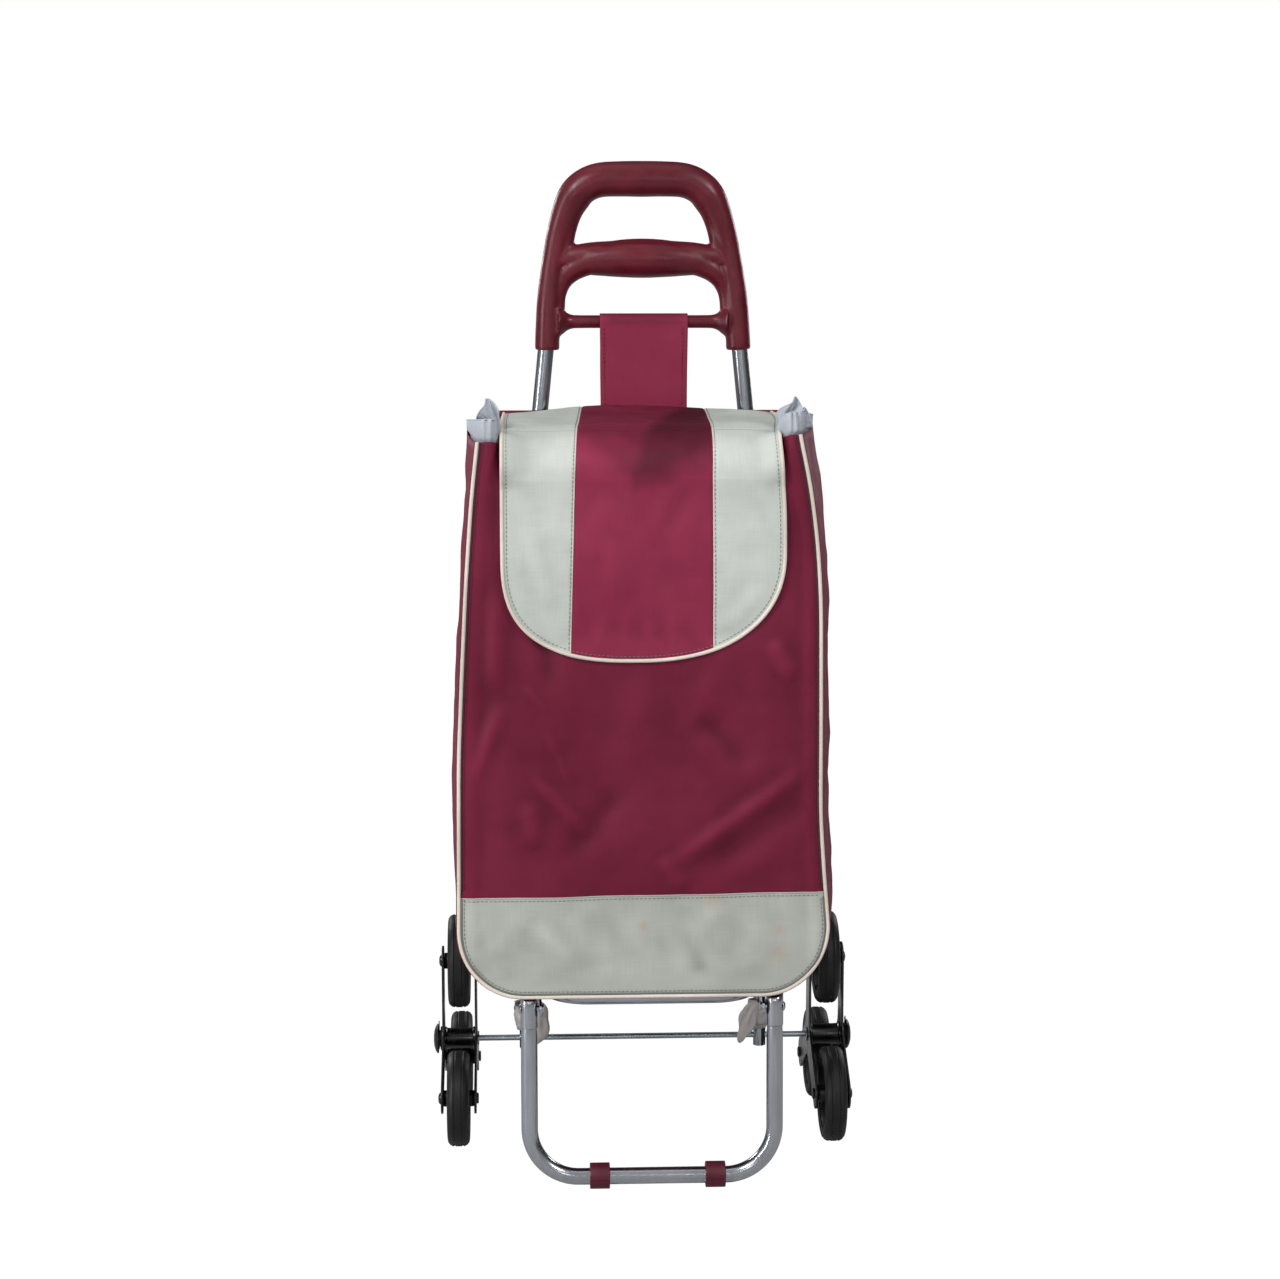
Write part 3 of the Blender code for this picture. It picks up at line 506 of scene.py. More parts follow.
def bent_path(corners, bend_radius, steps=16, run_steps=6):
    """A path through corner points, with a round bend at each inner corner."""
    places = [Vector(corner) for corner in corners]
    path = [places[0]]
    for before, corner, after in zip(places, places[1:], places[2:]):
        back = (before - corner).normalized()
        ahead = (after - corner).normalized()
        half_angle = back.angle(ahead) / 2
        centre = corner + (back + ahead).normalized() * bend_radius / math.sin(half_angle)
        reach = bend_radius / math.tan(half_angle)
        first = (corner + back * reach - centre).normalized()
        last = (corner + ahead * reach - centre).normalized()
        start = centre + first * bend_radius
        origin = path[-1]
        path += [origin.lerp(start, i / run_steps) for i in range(1, run_steps)]
        path += [centre + first.slerp(last, i / steps) * bend_radius for i in range(steps + 1)]
    origin = path[-1]
    path += [origin.lerp(places[-1], i / run_steps) for i in range(1, run_steps + 1)]
    return path


def flat_plate(name, outlines, thickness, edge, material, matrix):
    """A plate with rounded edges; outlines after the first are holes."""
    curve = bpy.data.curves.new(name, "CURVE")
    curve.dimensions = "2D"
    curve.fill_mode = "BOTH"
    curve.extrude = thickness / 2 - edge
    curve.bevel_depth = edge
    curve.bevel_resolution = 2
    curve.offset = -edge
    for outline in outlines:
        spline = curve.splines.new("POLY")
        spline.points.add(len(outline) - 1)
        for point, (x, y) in zip(spline.points, outline):
            point.co = (x, y, 0, 1)
        spline.use_cyclic_u = True
    holder = bpy.data.objects.new(name, curve)
    bpy.context.scene.collection.objects.link(holder)
    graph = bpy.context.evaluated_depsgraph_get()
    mesh = bpy.data.meshes.new_from_object(holder.evaluated_get(graph))
    bpy.data.objects.remove(holder, do_unlink=True)
    mesh.transform(matrix)
    mesh.name = name
    mesh.materials.clear()
    mesh.materials.append(MATERIALS[material])
    item = bpy.data.objects.new(name, mesh)
    bpy.context.scene.collection.objects.link(item)
    return tidy_mesh(item, 0.00001)


def ring(radius, steps=48, centre=(0.0, 0.0)):
    """Points round a circle."""
    return [(centre[0] + radius * math.cos(angle), centre[1] + radius * math.sin(angle))
            for angle in around(steps)]


def across_x(place, turn=math.pi / 2):
    """Stands a flat drawing up at a place, facing along X; turn is its angle about Z."""
    return Matrix.Translation(place) @ Matrix.Rotation(turn, 4, "Z") @ Matrix.Rotation(math.pi / 2, 4, "X")


def arc(centre, radius, start, end, steps):
    """Points on an arc, angles in degrees."""
    angles = [math.radians(start + (end - start) * i / steps) for i in range(steps + 1)]
    return [(centre[0] + radius * math.cos(a), centre[1] + radius * math.sin(a)) for a in angles]


def fold_depth(grid, depth=0.0011, rounds=26):
    """How far each point of a grid stands proud of its smoothed neighbourhood, from -1 to 1; cloth_sheet
    paints it on as shade.
    """
    smooth = grid.copy()
    for _ in range(rounds):
        for axis in (0, 1):
            pad = [(1, 1) if i == axis else (0, 0) for i in range(3)]
            wide = np.pad(smooth, pad, mode="edge")
            before, after = (wide[:-2], wide[2:]) if axis == 0 else (wide[:, :-2], wide[:, 2:])
            smooth = smooth * 0.5 + (before + after) * 0.25
    normal = np.cross(np.gradient(grid, axis=0), np.gradient(grid, axis=1))
    normal /= np.maximum(np.linalg.norm(normal, axis=2, keepdims=True), 1e-12)
    proud = ((grid - smooth) * normal).sum(axis=2) / depth
    inside = [np.minimum(np.arange(n), np.arange(n)[::-1]) / 8 for n in grid.shape[:2]]
    return np.clip(proud, -1, 1) * np.clip(np.minimum.outer(*inside), 0, 1)


def cloth_sheet(name, rows, material, thickness=CLOTH, closed=False, tone=None):
    """A sheet through rows of points, with UVs in metres, painted shade in its hollows and painted light on
    its ridges, and a real thickness.
    """
    grid = np.array([[tuple(point) for point in row] for row in rows], float)
    # painted shade in hollows and painted light on ridges, from how far each point stands out of its
    # neighbourhood
    shade = 0.72 * fold_depth(grid)
    # tone is further painted shade, such as the shade above the lid's V fold
    if tone is not None:
        shade = np.clip(shade + tone, -3, 1)
    down, across = grid.shape[:2]
    along = np.zeros((down, across))
    along[:, 1:] = np.cumsum(np.linalg.norm(np.diff(grid, axis=1), axis=2), axis=1)
    fall = np.zeros((down, across))
    fall[1:] = np.cumsum(np.linalg.norm(np.diff(grid, axis=0), axis=2), axis=0)
    fall[:] = fall.mean(axis=1, keepdims=True)
    along -= along[:, -1:] / 2
    uvs = np.stack([along, fall], axis=2).reshape(-1, 2)
    faces = [(a, d, c, b) for a, b, c, d in grid_faces(down, across, closed_columns=closed)]
    item = add_mesh(name, grid.reshape(-1, 3), faces, material, uvs)
    layer = item.data.attributes.new("shade", "FLOAT", "POINT")
    layer.data.foreach_set("value", shade.ravel().astype(np.float32))
    solid = item.modifiers.new("thickness", "SOLIDIFY")
    solid.thickness = thickness
    solid.offset = 0.0
    return item


def distances(places):
    """How far each point is along a line."""
    return np.concatenate([[0], np.cumsum(np.linalg.norm(np.diff(places, axis=0), axis=1))])


def stitches(name, path, material, outward):
    """A row of short threads along a path, standing slightly out of the cloth."""
    places = np.array([tuple(point) for point in path])
    run = distances(places)

    def at(distance):
        """The point at a distance along the path."""
        return Vector([float(np.interp(distance, run, column)) for column in places.T])

    points = []
    faces = []
    sides = 5
    taper = ((0.0, 0.35), (0.2, 1.0), (0.8, 1.0), (1.0, 0.35))    # share of the length, share of the radius
    lift = Vector(outward).normalized() * THREAD_RADIUS * 0.35
    start = STITCH_GAP / 2
    while start + STITCH < run[-1]:
        begin = at(start)
        end = at(start + STITCH)
        direction = (end - begin).normalized()
        first = direction.cross(Vector(outward)).normalized()
        second = direction.cross(first)
        base = len(points)
        for share, width in taper:
            centre = begin.lerp(end, share) + lift * (1 if 0 < share < 1 else -1)
            for angle in around(sides):
                out = first * math.cos(angle) + second * math.sin(angle)
                points.append(centre + out * THREAD_RADIUS * width)
        faces += grid_faces(len(taper), sides, base=base) + end_caps(len(taper), sides, base)
        start += STITCH + STITCH_GAP
    return add_mesh(name, points, faces, material)


def wander(x, y, z, scale, seed=0.0):
    """Smooth noise from -1 to 1 whose bumps are about scale metres across."""
    return noise.noise(Vector((x / scale + seed, y / scale + 0.37 * seed, z / scale - 0.61 * seed)))


def soft_step(value, low, high):
    """0 below one limit, 1 above the other, smooth between them."""
    share = min(1.0, max(0.0, (value - low) / (high - low)))
    return share * share * (3 - 2 * share)


def crease(x, z, start, end, width, height):
    """A long soft ridge from one place to another on a panel."""
    ax, az = start
    dx, dz = end[0] - ax, end[1] - az
    length = math.hypot(dx, dz)
    t = ((x - ax) * dx + (z - az) * dz) / length ** 2
    away = ((x - ax) * dz - (z - az) * dx) / length
    window = soft_step(t, -0.25, 0.25) * (1 - soft_step(t, 0.75, 1.25))
    return height * window * math.exp(-(away / width) ** 2)


# ---------------------------------------------------------------- frame tubes
def build_posts():
    """Two tubes, swaged thinner at the axle and leaning inward above the bend."""
    low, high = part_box("post_left")
    top_x = POST_X - 0.1 * (high.z - POST_BEND_Z)
    for side, sign in SIDES:
        bend = bent_path(((sign * POST_X, POST_Y, SWAGE_Z + 0.012), (sign * POST_X, POST_Y, POST_BEND_Z),
                          (sign * top_x, POST_Y, high.z)), 0.25, 20, 12)
        lower = [(sign * POST_X, POST_Y, z) for z in np.linspace(low.z, SWAGE_Z, 10)]
        lower += [(sign * POST_X, POST_Y, SWAGE_Z + up) for up in (0.0025, 0.005, 0.0075)]
        radii = [0.0065] * 10 + [0.00675, 0.00725, 0.00775] + [TUBE_RADIUS] * len(bend)
        post = sweep(f"post_tube_{side}", lower + bend, radii, "tube", 40)
        stand_in(post, "root", "tube_steel", f"post_{side}")


def build_cross_tubes():
    """Two thin tubes between the posts."""
    for name in ("cross_tube_upper", "cross_tube_lower"):
        height = middle(name).z
        path = [(x, POST_Y, height) for x in np.linspace(-POST_X + 0.003, POST_X - 0.003, 12)]
        stand_in(sweep(f"{name}_visual", path, 0.006, "tube_across", 32), "root", "tube_steel", name)


def build_platform():
    """A U of tube under the bag, its bolts and the plates for the foot's rivets."""
    front_x, front_y = PLATFORM_FRONT
    rear_x = POST_X - 2 * TUBE_RADIUS - FIT
    corners = ((-rear_x, POST_Y + 0.010, PLATFORM_Z), (-front_x, front_y, PLATFORM_Z),
               (front_x, front_y, PLATFORM_Z), (rear_x, POST_Y + 0.010, PLATFORM_Z))
    tube = sweep("platform_tube", bent_path(corners, 0.040, 20), TUBE_RADIUS, "tube_across", 40)
    stand_in(tube, "root", "tube_steel", "platform_frame")
    outer = POST_X + TUBE_RADIUS + FIT
    inner = rear_x - TUBE_RADIUS - 0.0015
    head = ((0.0, 0.0045), (0.0038, 0.0042), (0.0054, 0.003), (0.006, 0.0014), (0.006, 0.0), (0.003, 0.0))
    nut = ((0.003, 0.0), (0.0055, 0.0), (0.0055, -0.0034), (0.0049, -0.004), (0.0, -0.004))
    profile = pin_profile(outer, inner, head, nut)
    for side, sign in SIDES:
        bolt = lathe(f"platform_bolt_{side}_visual", profile, "zinc", (0, POST_Y, PLATFORM_Z), sign, 48)
        stand_in(bolt, "root", "zinc_steel", f"platform_bolt_{side}")
        build_bracket(side, sign, math.atan2(rear_x - front_x, POST_Y - front_y))


def build_bracket(side, sign, splay):
    """A plate on the outside of the platform's arm, with the hole for the foot's rivet."""
    pivot = middle(f"hinge_rivet_{side}")
    outline = arc((0, 0), 0.0085, 150, 325, 20)
    outline += rounded([(0.074, 0.002), (0.074, 0.014), (0.020, 0.0145)], 0.003, 4, False)
    offset = TUBE_RADIUS + FIT + PLATE / 2
    x = PLATFORM_FRONT[0] - math.tan(splay) * 0.013 + offset / math.cos(splay)
    matrix = across_x((sign * x, pivot.y, pivot.z), math.pi / 2 - sign * splay)
    plate = flat_plate(f"hinge_plate_{side}", (outline, ring(0.0034, 32)), PLATE, 0.0004, "tube", matrix)
    stand_in(plate, "root", "tube_steel", f"hinge_bracket_{side}")


# ---------------------------------------------------------------- folding foot
def build_foot():
    """A U of tube that leans forward from its rivets, with its knuckles, rivets and clips."""
    pivot = middle("hinge_rivet_left")
    bar = Vector((FOOT_LEG_X, middle("foot_clip_left").y, 0.013))
    lean = math.atan2(pivot.y - bar.y, pivot.z - bar.z)
    sleeve_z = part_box("foot_tube")[1].z
    sleeve_y = pivot.y - (pivot.z - sleeve_z) * math.tan(lean)
    corners = ((-bar.x, sleeve_y, sleeve_z), (-bar.x, bar.y, bar.z), (bar.x, bar.y, bar.z),
               (bar.x, sleeve_y, sleeve_z))
    path = bent_path(corners, FOOT_BEND, 28, 10)
    radii = [TUBE_RADIUS - 0.0006] + [TUBE_RADIUS] * (len(path) - 2) + [TUBE_RADIUS - 0.0006]
    stand_in(sweep("foot_tube_visual", path, radii, "tube", 40), "foot_stand", "tube_steel", "foot_tube")
    for side, sign in SIDES:
        build_knuckle(side, Vector((sign * FOOT_LEG_X, pivot.y, pivot.z)), lean, sleeve_z)
        build_rivet(side, sign, pivot)
        build_clip(side)


def build_knuckle(side, base, lean, sleeve_z):
    """A plug in the leg's top, rounded over like half a cylinder above the rivet."""
    radius = TUBE_RADIUS + FIT
    steps = 40
    across = Vector((1, 0, 0))
    direction = Vector((0, math.sin(lean), math.cos(lean)))
    ahead = direction.cross(across)
    foot = -(base.z - sleeve_z + 0.001)
    shoulder = BOTTOM_Z - 0.0008 - base.z - radius
    # height, half width and half depth of each ring
    rings = [(foot, radius - 0.0006, radius - 0.0006)]
    rings += [(height, radius, radius) for height in np.linspace(foot + 0.0006, shoulder, 6)]
    for angle in (15, 30, 45, 58, 70, 80):
        deep, up = polar(radius, angle)
        rings.append((shoulder + up, radius - 0.0012 * (angle > 75), deep))
    points = [base + direction * height + across * wide * math.cos(turn) + ahead * deep * math.sin(turn)
              for height, wide, deep in rings for turn in around(steps)]
    faces = grid_faces(len(rings), steps) + end_caps(len(rings), steps)
    knuckle = tidy_mesh(add_mesh(f"knuckle_{side}", points, faces, "tube"))
    stand_in(knuckle, "foot_stand", "tube_steel", f"leg_knuckle_{side}")


def build_rivet(side, sign, pivot):
    """A domed head outside the leg, a shank, and a flat tail inside the platform's arm."""
    outer = FOOT_LEG_X + TUBE_RADIUS - 0.0005
    inner = PLATFORM_FRONT[0] + TUBE_RADIUS - 0.0007
    head = ((0.0, 0.003), (0.0022, 0.0028), (0.0039, 0.002), (0.0049, 0.0009), (0.005, 0.0), (0.003, 0.0))
    tail = ((0.003, 0.0), (0.0045, 0.0), (0.0045, -0.0014), (0.0035, -0.0018), (0.0, -0.0018))
    profile = pin_profile(outer, inner, head, tail)
    rivet = lathe(f"rivet_{side}", profile, "tube", (0, pivot.y, pivot.z), sign, 40)
    stand_in(rivet, "root", "tube_steel", f"hinge_rivet_{side}")


def build_clip(side):
    """A moulded collar round the foot's bar; its lower half stands a little proud of the upper."""
    low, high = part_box(f"foot_clip_{side}")
    centre = (low + high) / 2
    reach = (high.z - low.z) / 2
    outline = arc((0, 0), reach - 0.0009, -88, 88, 24) + arc((0, 0), reach, 92, 268, 24)
    bore = ring(TUBE_RADIUS + 0.0002)
    standing = Matrix.Rotation(-math.pi / 2, 4, "Y") @ Matrix.Rotation(math.pi, 4, "Z")
    clip = flat_plate(f"clip_{side}", (outline, bore), high.x - low.x, 0.0008, "clip",
                      Matrix.Translation(centre) @ standing)
    clip.data.set_sharp_from_angle(angle=math.radians(30))
    stand_in(clip, "foot_stand", "clip_plastic", f"foot_clip_{side}")


# ---------------------------------------------------------------- wheel stars
def star_outline():
    """Three round lobes joined by hollow sides."""
    outline = []
    for angle in (90, 210, 330):
        outline += arc(polar(STAR_RADIUS, angle), 0.0155, angle - 92, angle + 92, 24)
        outline += [polar(0.0215 + 0.0062 * (turn / 24) ** 2, angle + 60 + turn)
                    for turn in range(-30, 31, 10)]
    return outline


def build_stars():
    """On each side two plates on a hub, and three wheels between them."""
    places = [polar(STAR_RADIUS, angle) for angle in (90, 210, 330)]
    holes = [ring(0.0033, 24, place) for place in places] + [ring(0.0036, 32)]
    for side, sign in SIDES:
        for face in ("outer", "inner"):
            node = f"star_plate_{face}_{side}"
            plate = flat_plate(f"{node}_visual", [star_outline()] + holes, PLATE, 0.0005, "enamel",
                               across_x((middle(node).x, POST_Y, HUB_Z)))
            stand_in(plate, f"star_{side}", "star_steel", node)
        build_hub(side, sign)
        for letter, (y, z) in zip(WHEELS, places):
            build_wheel(side, sign, letter, (sign * STAR_X, POST_Y + y, HUB_Z + z))


def both_faces(half_profile):
    """A profile's outer half, followed by the same mirrored to the inner face."""
    return list(half_profile) + [(radius, -along) for radius, along in reversed(half_profile)]


def build_hub(side, sign):
    """A tube between the plates with a shallow waist, and its weld beads."""
    half = size(f"star_hub_{side}").x / 2
    radius = 0.011
    beads = [(radius + 0.0012, half), (radius + 0.0010, half - 0.0012), (radius, half - 0.0022),
             (radius - 0.0003, half - 0.006)]
    profile = both_faces(beads) + [(0.0034, -half), (0.0034, half)]
    hub = lathe(f"hub_{side}", profile, "enamel", (sign * STAR_X, POST_Y, HUB_Z), sign, 64)
    stand_in(hub, f"star_{side}", "star_steel", f"star_hub_{side}")


def tyre_section(half):
    """A round-shouldered tyre with two grooves; half is half its width."""
    top = WHEEL_RADIUS
    shoulder = [(0.0348, half - 0.0012), (top - 0.0085, half - 0.0004), (top - 0.0062, half),
                (top - 0.0040, half - 0.0005), (top - 0.0016, half - 0.0024), (top - 0.0004, half - 0.0046)]
    grooves = [(top - depth, half * share + along) for share in (0.36, -0.36)
               for depth, along in ((0, 0.0012), (0.0007, 0.0004), (0.0007, -0.0004), (0, -0.0012))]
    return shoulder + grooves + both_faces(shoulder)[len(shoulder):]


def rim_section(half, boss):
    """A rim with a thin web and a boss; half and boss are half their widths."""
    face = [(0.0078, boss), (0.0082, boss - 0.0006), (0.0088, 0.0048), (0.0105, 0.0034), (0.0285, 0.0032),
            (0.0312, 0.0044), (0.0325, half - 0.0032), (0.0332, half - 0.0022), (0.0344, half - 0.0022)]
    return both_faces(face) + [(0.0034, -boss), (0.0034, boss)]


def build_wheel(side, sign, letter, centre):
    """A grooved tyre on a ribbed rim, and the pin it turns on."""
    name = f"{side}_{letter}"
    half = size(f"tyre_{name}").x / 2
    tyre = lathe(f"tyre_{name}_visual", tyre_section(half), "tyre", centre, sign, 112)
    stand_in(tyre, f"wheel_{name}", "tyre_rubber", f"tyre_{name}")
    rim = lathe(f"rim_{name}_visual", rim_section(half, size(f"rim_{name}").x / 2), "black", centre, sign, 96)
    ribs = [build_rib(centre, math.radians(angle), face) for angle in range(30, 360, 60) for face in (-1, 1)]
    stand_in(joined([rim] + ribs), f"wheel_{name}", "rim_plastic", f"rim_{name}")
    reach = 0.0183
    head = ((0.0, 0.0026), (0.0026, 0.0025), (0.0045, 0.0020), (0.0058, 0.0009), (0.006, 0.0), (0.003, 0.0))
    tail = ((0.003, 0.0), (0.0055, 0.0), (0.0055, -0.0014), (0.0046, -0.002), (0.0, -0.002))
    pin = lathe(f"pin_{name}", pin_profile(reach, -reach, head, tail), "enamel", centre, sign, 40)
    stand_in(pin, f"star_{side}", "star_steel", f"wheel_pin_{name}")


def build_rib(centre, angle, face):
    """A low radial rib on one face of a wheel's web."""
    out = Vector((0, math.cos(angle), math.sin(angle)))
    across = Vector((0, -math.sin(angle), math.cos(angle)))
    along = Vector((face, 0, 0))
    section = ((-0.0011, 0.0026), (-0.0009, 0.0046), (0.0009, 0.0046), (0.0011, 0.0026))
    points = [Vector(centre) + out * reach + across * wide + along * high
              for reach in (0.0085, 0.0300) for wide, high in section]
    faces = [(0, 1, 5, 4), (1, 2, 6, 5), (2, 3, 7, 6), (3, 0, 4, 7), (3, 2, 1, 0), (4, 5, 6, 7)]
    return tidy_mesh(add_mesh("rib", points, faces, "black"))


def build_axle():
    """The rod, its washers, mushroom caps and cotter pins."""
    half = AXLE_END_X
    rod = both_faces([(0.0, half), (0.0022, half), (0.003, half - 0.0008)])
    stand_in(lathe("axle_rod", rod, "zinc", (0, POST_Y, HUB_Z), 1, 40), "root", "zinc_steel", "axle")
    washer = rounded([(0.007, 0.0008), (0.007, -0.0008), (0.0033, -0.0008), (0.0033, 0.0008)], 0.0003, 2)
    for side, sign in SIDES:
        place = (middle(f"axle_washer_{side}").x, POST_Y, HUB_Z)
        disc = lathe(f"washer_{side}", washer, "zinc", place, sign, 40)
        stand_in(disc, "root", "zinc_steel", f"axle_washer_{side}")
        ends = [abs(corner.x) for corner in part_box(f"hub_cap_{side}")]
        top = max(ends)
        foot = min(ends)
        dome = ((0.0, 0.0), (0.004, 0.0001), (0.008, 0.0006), (0.012, 0.0018), (0.0148, 0.0034),
                (0.0155, 0.0046), (0.0150, 0.0053), (0.011, 0.0052), (0.0088, 0.0050))
        stem = ((0.0086, 0.0026), (0.0088, 0.0020), (0.0121, 0.0017), (0.0125, 0.0012), (0.0125, 0.0))
        cap = [(radius, top - down) for radius, down in dome] + [(radius, foot + up) for radius, up in stem]
        cap += [(0.0033, foot), (0.0033, half + 0.0004), (0.0, half + 0.0004)]
        shell = lathe(f"cap_{side}", cap, "black", (0, POST_Y, HUB_Z), sign, 72)
        stand_in(shell, "root", "cap_plastic", f"hub_cap_{side}")
        build_cotter(side)


def build_cotter(side):
    """A split pin of half-round wire: a round eye and two legs."""
    low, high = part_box(f"cotter_pin_{side}")
    x = (low.x + high.x) / 2
    eye = arc((POST_Y, high.z - 0.0036), 0.0028, -70, 250, 16)
    path = [(x, POST_Y + 0.0005, low.z), (x, POST_Y + 0.0005, HUB_Z)] + [(x, y, z) for y, z in eye]
    path += [(x, POST_Y - 0.0005, HUB_Z), (x, POST_Y - 0.0009, low.z + 0.001)]
    wire = sweep(f"cotter_{side}", smooth_path(path, 4), 0.00062, "zinc", 10)
    stand_in(wire, "root", "zinc_steel", f"cotter_pin_{side}")


# ---------------------------------------------------------------- handle
# x, height and radius along the right half of each of the handle's tubes, from the side to the middle
HANDLE_TUBES = {
    "arch": ((0.0962, 0.8018, 0.0124), (0.0955, 0.823, 0.0122), (0.0940, 0.851, 0.0118),
             (0.0905, 0.878, 0.0116), (0.0838, 0.913, 0.0122), (0.0752, 0.9385, 0.0146),
             (0.0668, 0.9545, 0.0166), (0.0560, 0.9645, 0.0170), (0.0420, 0.9700, 0.0172),
             (0.022, 0.9712, 0.0175), (0.0, 0.9712, 0.0178)),
    "grip": ((0.0850, 0.8180, 0.0062), (0.0846, 0.8430, 0.0070), (0.0838, 0.8570, 0.0076),
             (0.0795, 0.8700, 0.0092), (0.0710, 0.8805, 0.0116), (0.0600, 0.8872, 0.0132),
             (0.0500, 0.8908, 0.0152), (0.025, 0.8926, 0.0184), (0.0, 0.8930, 0.0196)),
    "bar": ((0.0850, BAR_Z, 0.0160), (0.0805, BAR_Z, 0.0125), (0.0765, BAR_Z, 0.0094),
            (0.0725, BAR_Z, 0.0076), (0.0660, BAR_Z, 0.0068), (0.030, BAR_Z, 0.0067), (0.0, BAR_Z, 0.0067)),
    "shoulder": ((0.0850, 0.8915, 0.0080), (0.0740, 0.8937, 0.0106), (0.0620, 0.8950, 0.0122),
                 (0.0460, 0.8958, 0.0136), (0.0200, 0.8960, 0.0146), (0.0, 0.8960, 0.0150)),
}
# the same for the web that fills the corner between the grip and the arch
HANDLE_WEB = ((0.0800, 0.888, 0.0105), (0.0765, 0.908, 0.0088), (0.0735, 0.924, 0.0092),
              (0.0690, 0.940, 0.0110), (0.0620, 0.9525, 0.0125))
SOCKET = ((0.0990, 0.790), (0.0938, 0.842))    # x and height of the ends of the right socket's bore


def handle_tube(name, points, steps, sides):
    """A tube through (x, height, radius) points; the handle's top leans slightly to the left."""
    curve = smooth_path(points, steps)
    path = [(x - 0.010 * (z - 0.803), POST_Y, z) for x, z, _ in curve]
    return sweep(name, path, [radius for _, _, radius in curve], "handle", sides)


def build_handle():
    """Tubes of changing width, merged into one moulding, smoothed and bored for the posts."""
    tubes = []
    for name, points in HANDLE_TUBES.items():
        whole = [(-x, z, radius) for x, z, radius in points] + list(reversed(points[:-1]))
        tubes.append(handle_tube(name, whole, 6, 40))
    for _, sign in SIDES:
        tubes.append(handle_tube("web", [(sign * x, z, radius) for x, z, radius in HANDLE_WEB], 5, 32))
    handle = joined(tubes)
    handle.name = "handle_moulding"
    merge = handle.modifiers.new("merge", "REMESH")
    merge.mode = "VOXEL"
    merge.voxel_size = 0.0013
    merge.use_smooth_shade = True
    smooth = handle.modifiers.new("smooth", "SMOOTH")
    smooth.factor = 0.6
    smooth.iterations = 14
    apply_modifiers(handle)
    cutters = [sweep("socket", [(sign * x, POST_Y, z) for x, z in SOCKET], 0.0085, "handle", 48)
               for _, sign in SIDES]
    for cutter in cutters:
        bore = handle.modifiers.new("socket", "BOOLEAN")
        bore.operation = "DIFFERENCE"
        bore.object = cutter
    apply_modifiers(handle)
    for cutter in cutters:
        bpy.data.objects.remove(cutter, do_unlink=True)
    handle.data.shade_smooth()
    handle.data.set_sharp_from_angle(angle=math.radians(50))
    stand_in(handle, "root", "handle_plastic", "handle_grip")


# ---------------------------------------------------------------- bag
def smooth_edge(table):
    """A smoothed function of height through a table of (height, x)."""
    heights = np.linspace(0.15, 0.80, 651)
    values = np.interp(heights, *zip(*sorted(table)))
    kernel = np.hanning(83)[1:-1]
    values = np.convolve(np.pad(values, len(kernel) // 2, mode="edge"), kernel / kernel.sum(), "valid")
    return lambda z: float(np.interp(z, heights, values))


left_edge, right_edge, back_edge, left_side, right_side = (
    smooth_edge(table) for table in (LEFT_EDGE, RIGHT_EDGE, BACK_EDGE, LEFT_SIDE, RIGHT_SIDE))


def tilt(x, z):
    """The front hangs with its right side slightly high, more at the rim."""
    share = max(0.0, (z - BOTTOM_Z) / (RIM_Z - BOTTOM_Z))
    return z + 0.021 * math.sqrt(share) * (x + 0.012)


def side_profile(edge_at, sign, rim, bottom):
    """(x, z) points down one side, round its corner and to the middle of the bottom."""
    across, up = BAG_CORNER
    knee = bottom + up
    line = [(edge_at(z), z) for z in np.linspace(rim, knee, 60)]
    centre_x = edge_at(knee) - sign * across
    line += [(centre_x + sign * across * x, knee - up * z) for x, z in arc((0, 0), 1, 0, 90, 24)[1:]]
    line += [(centre_x * (1 - share), bottom) for share in np.linspace(0, 1, 14)[1:]]
    return even(line, HALF_OUTLINE)


def even(line, count):
    """Points at even steps along a line."""
    places = np.array(line, float)
    run = distances(places)
    steps = np.linspace(0, run[-1], count)
    return list(zip(*(np.interp(steps, run, column) for column in places.T)))


def outline_pair():
    """The front's and the back's U-shaped outlines, left rim to right rim, point for point."""
    front_left = side_profile(left_edge, -1, RIM_Z, BOTTOM_Z)
    front_right = side_profile(right_edge, 1, RIM_Z, BOTTOM_Z)
    back = side_profile(back_edge, 1, BACK_RIM_Z, BACK_BOTTOM_Z)
    front = front_left + front_right[-2::-1]
    rear = [(-x, z) for x, z in back] + back[-2::-1]
    return [(x, tilt(x, z)) for x, z in front], rear


FRONT_LINE, BACK_LINE = outline_pair()

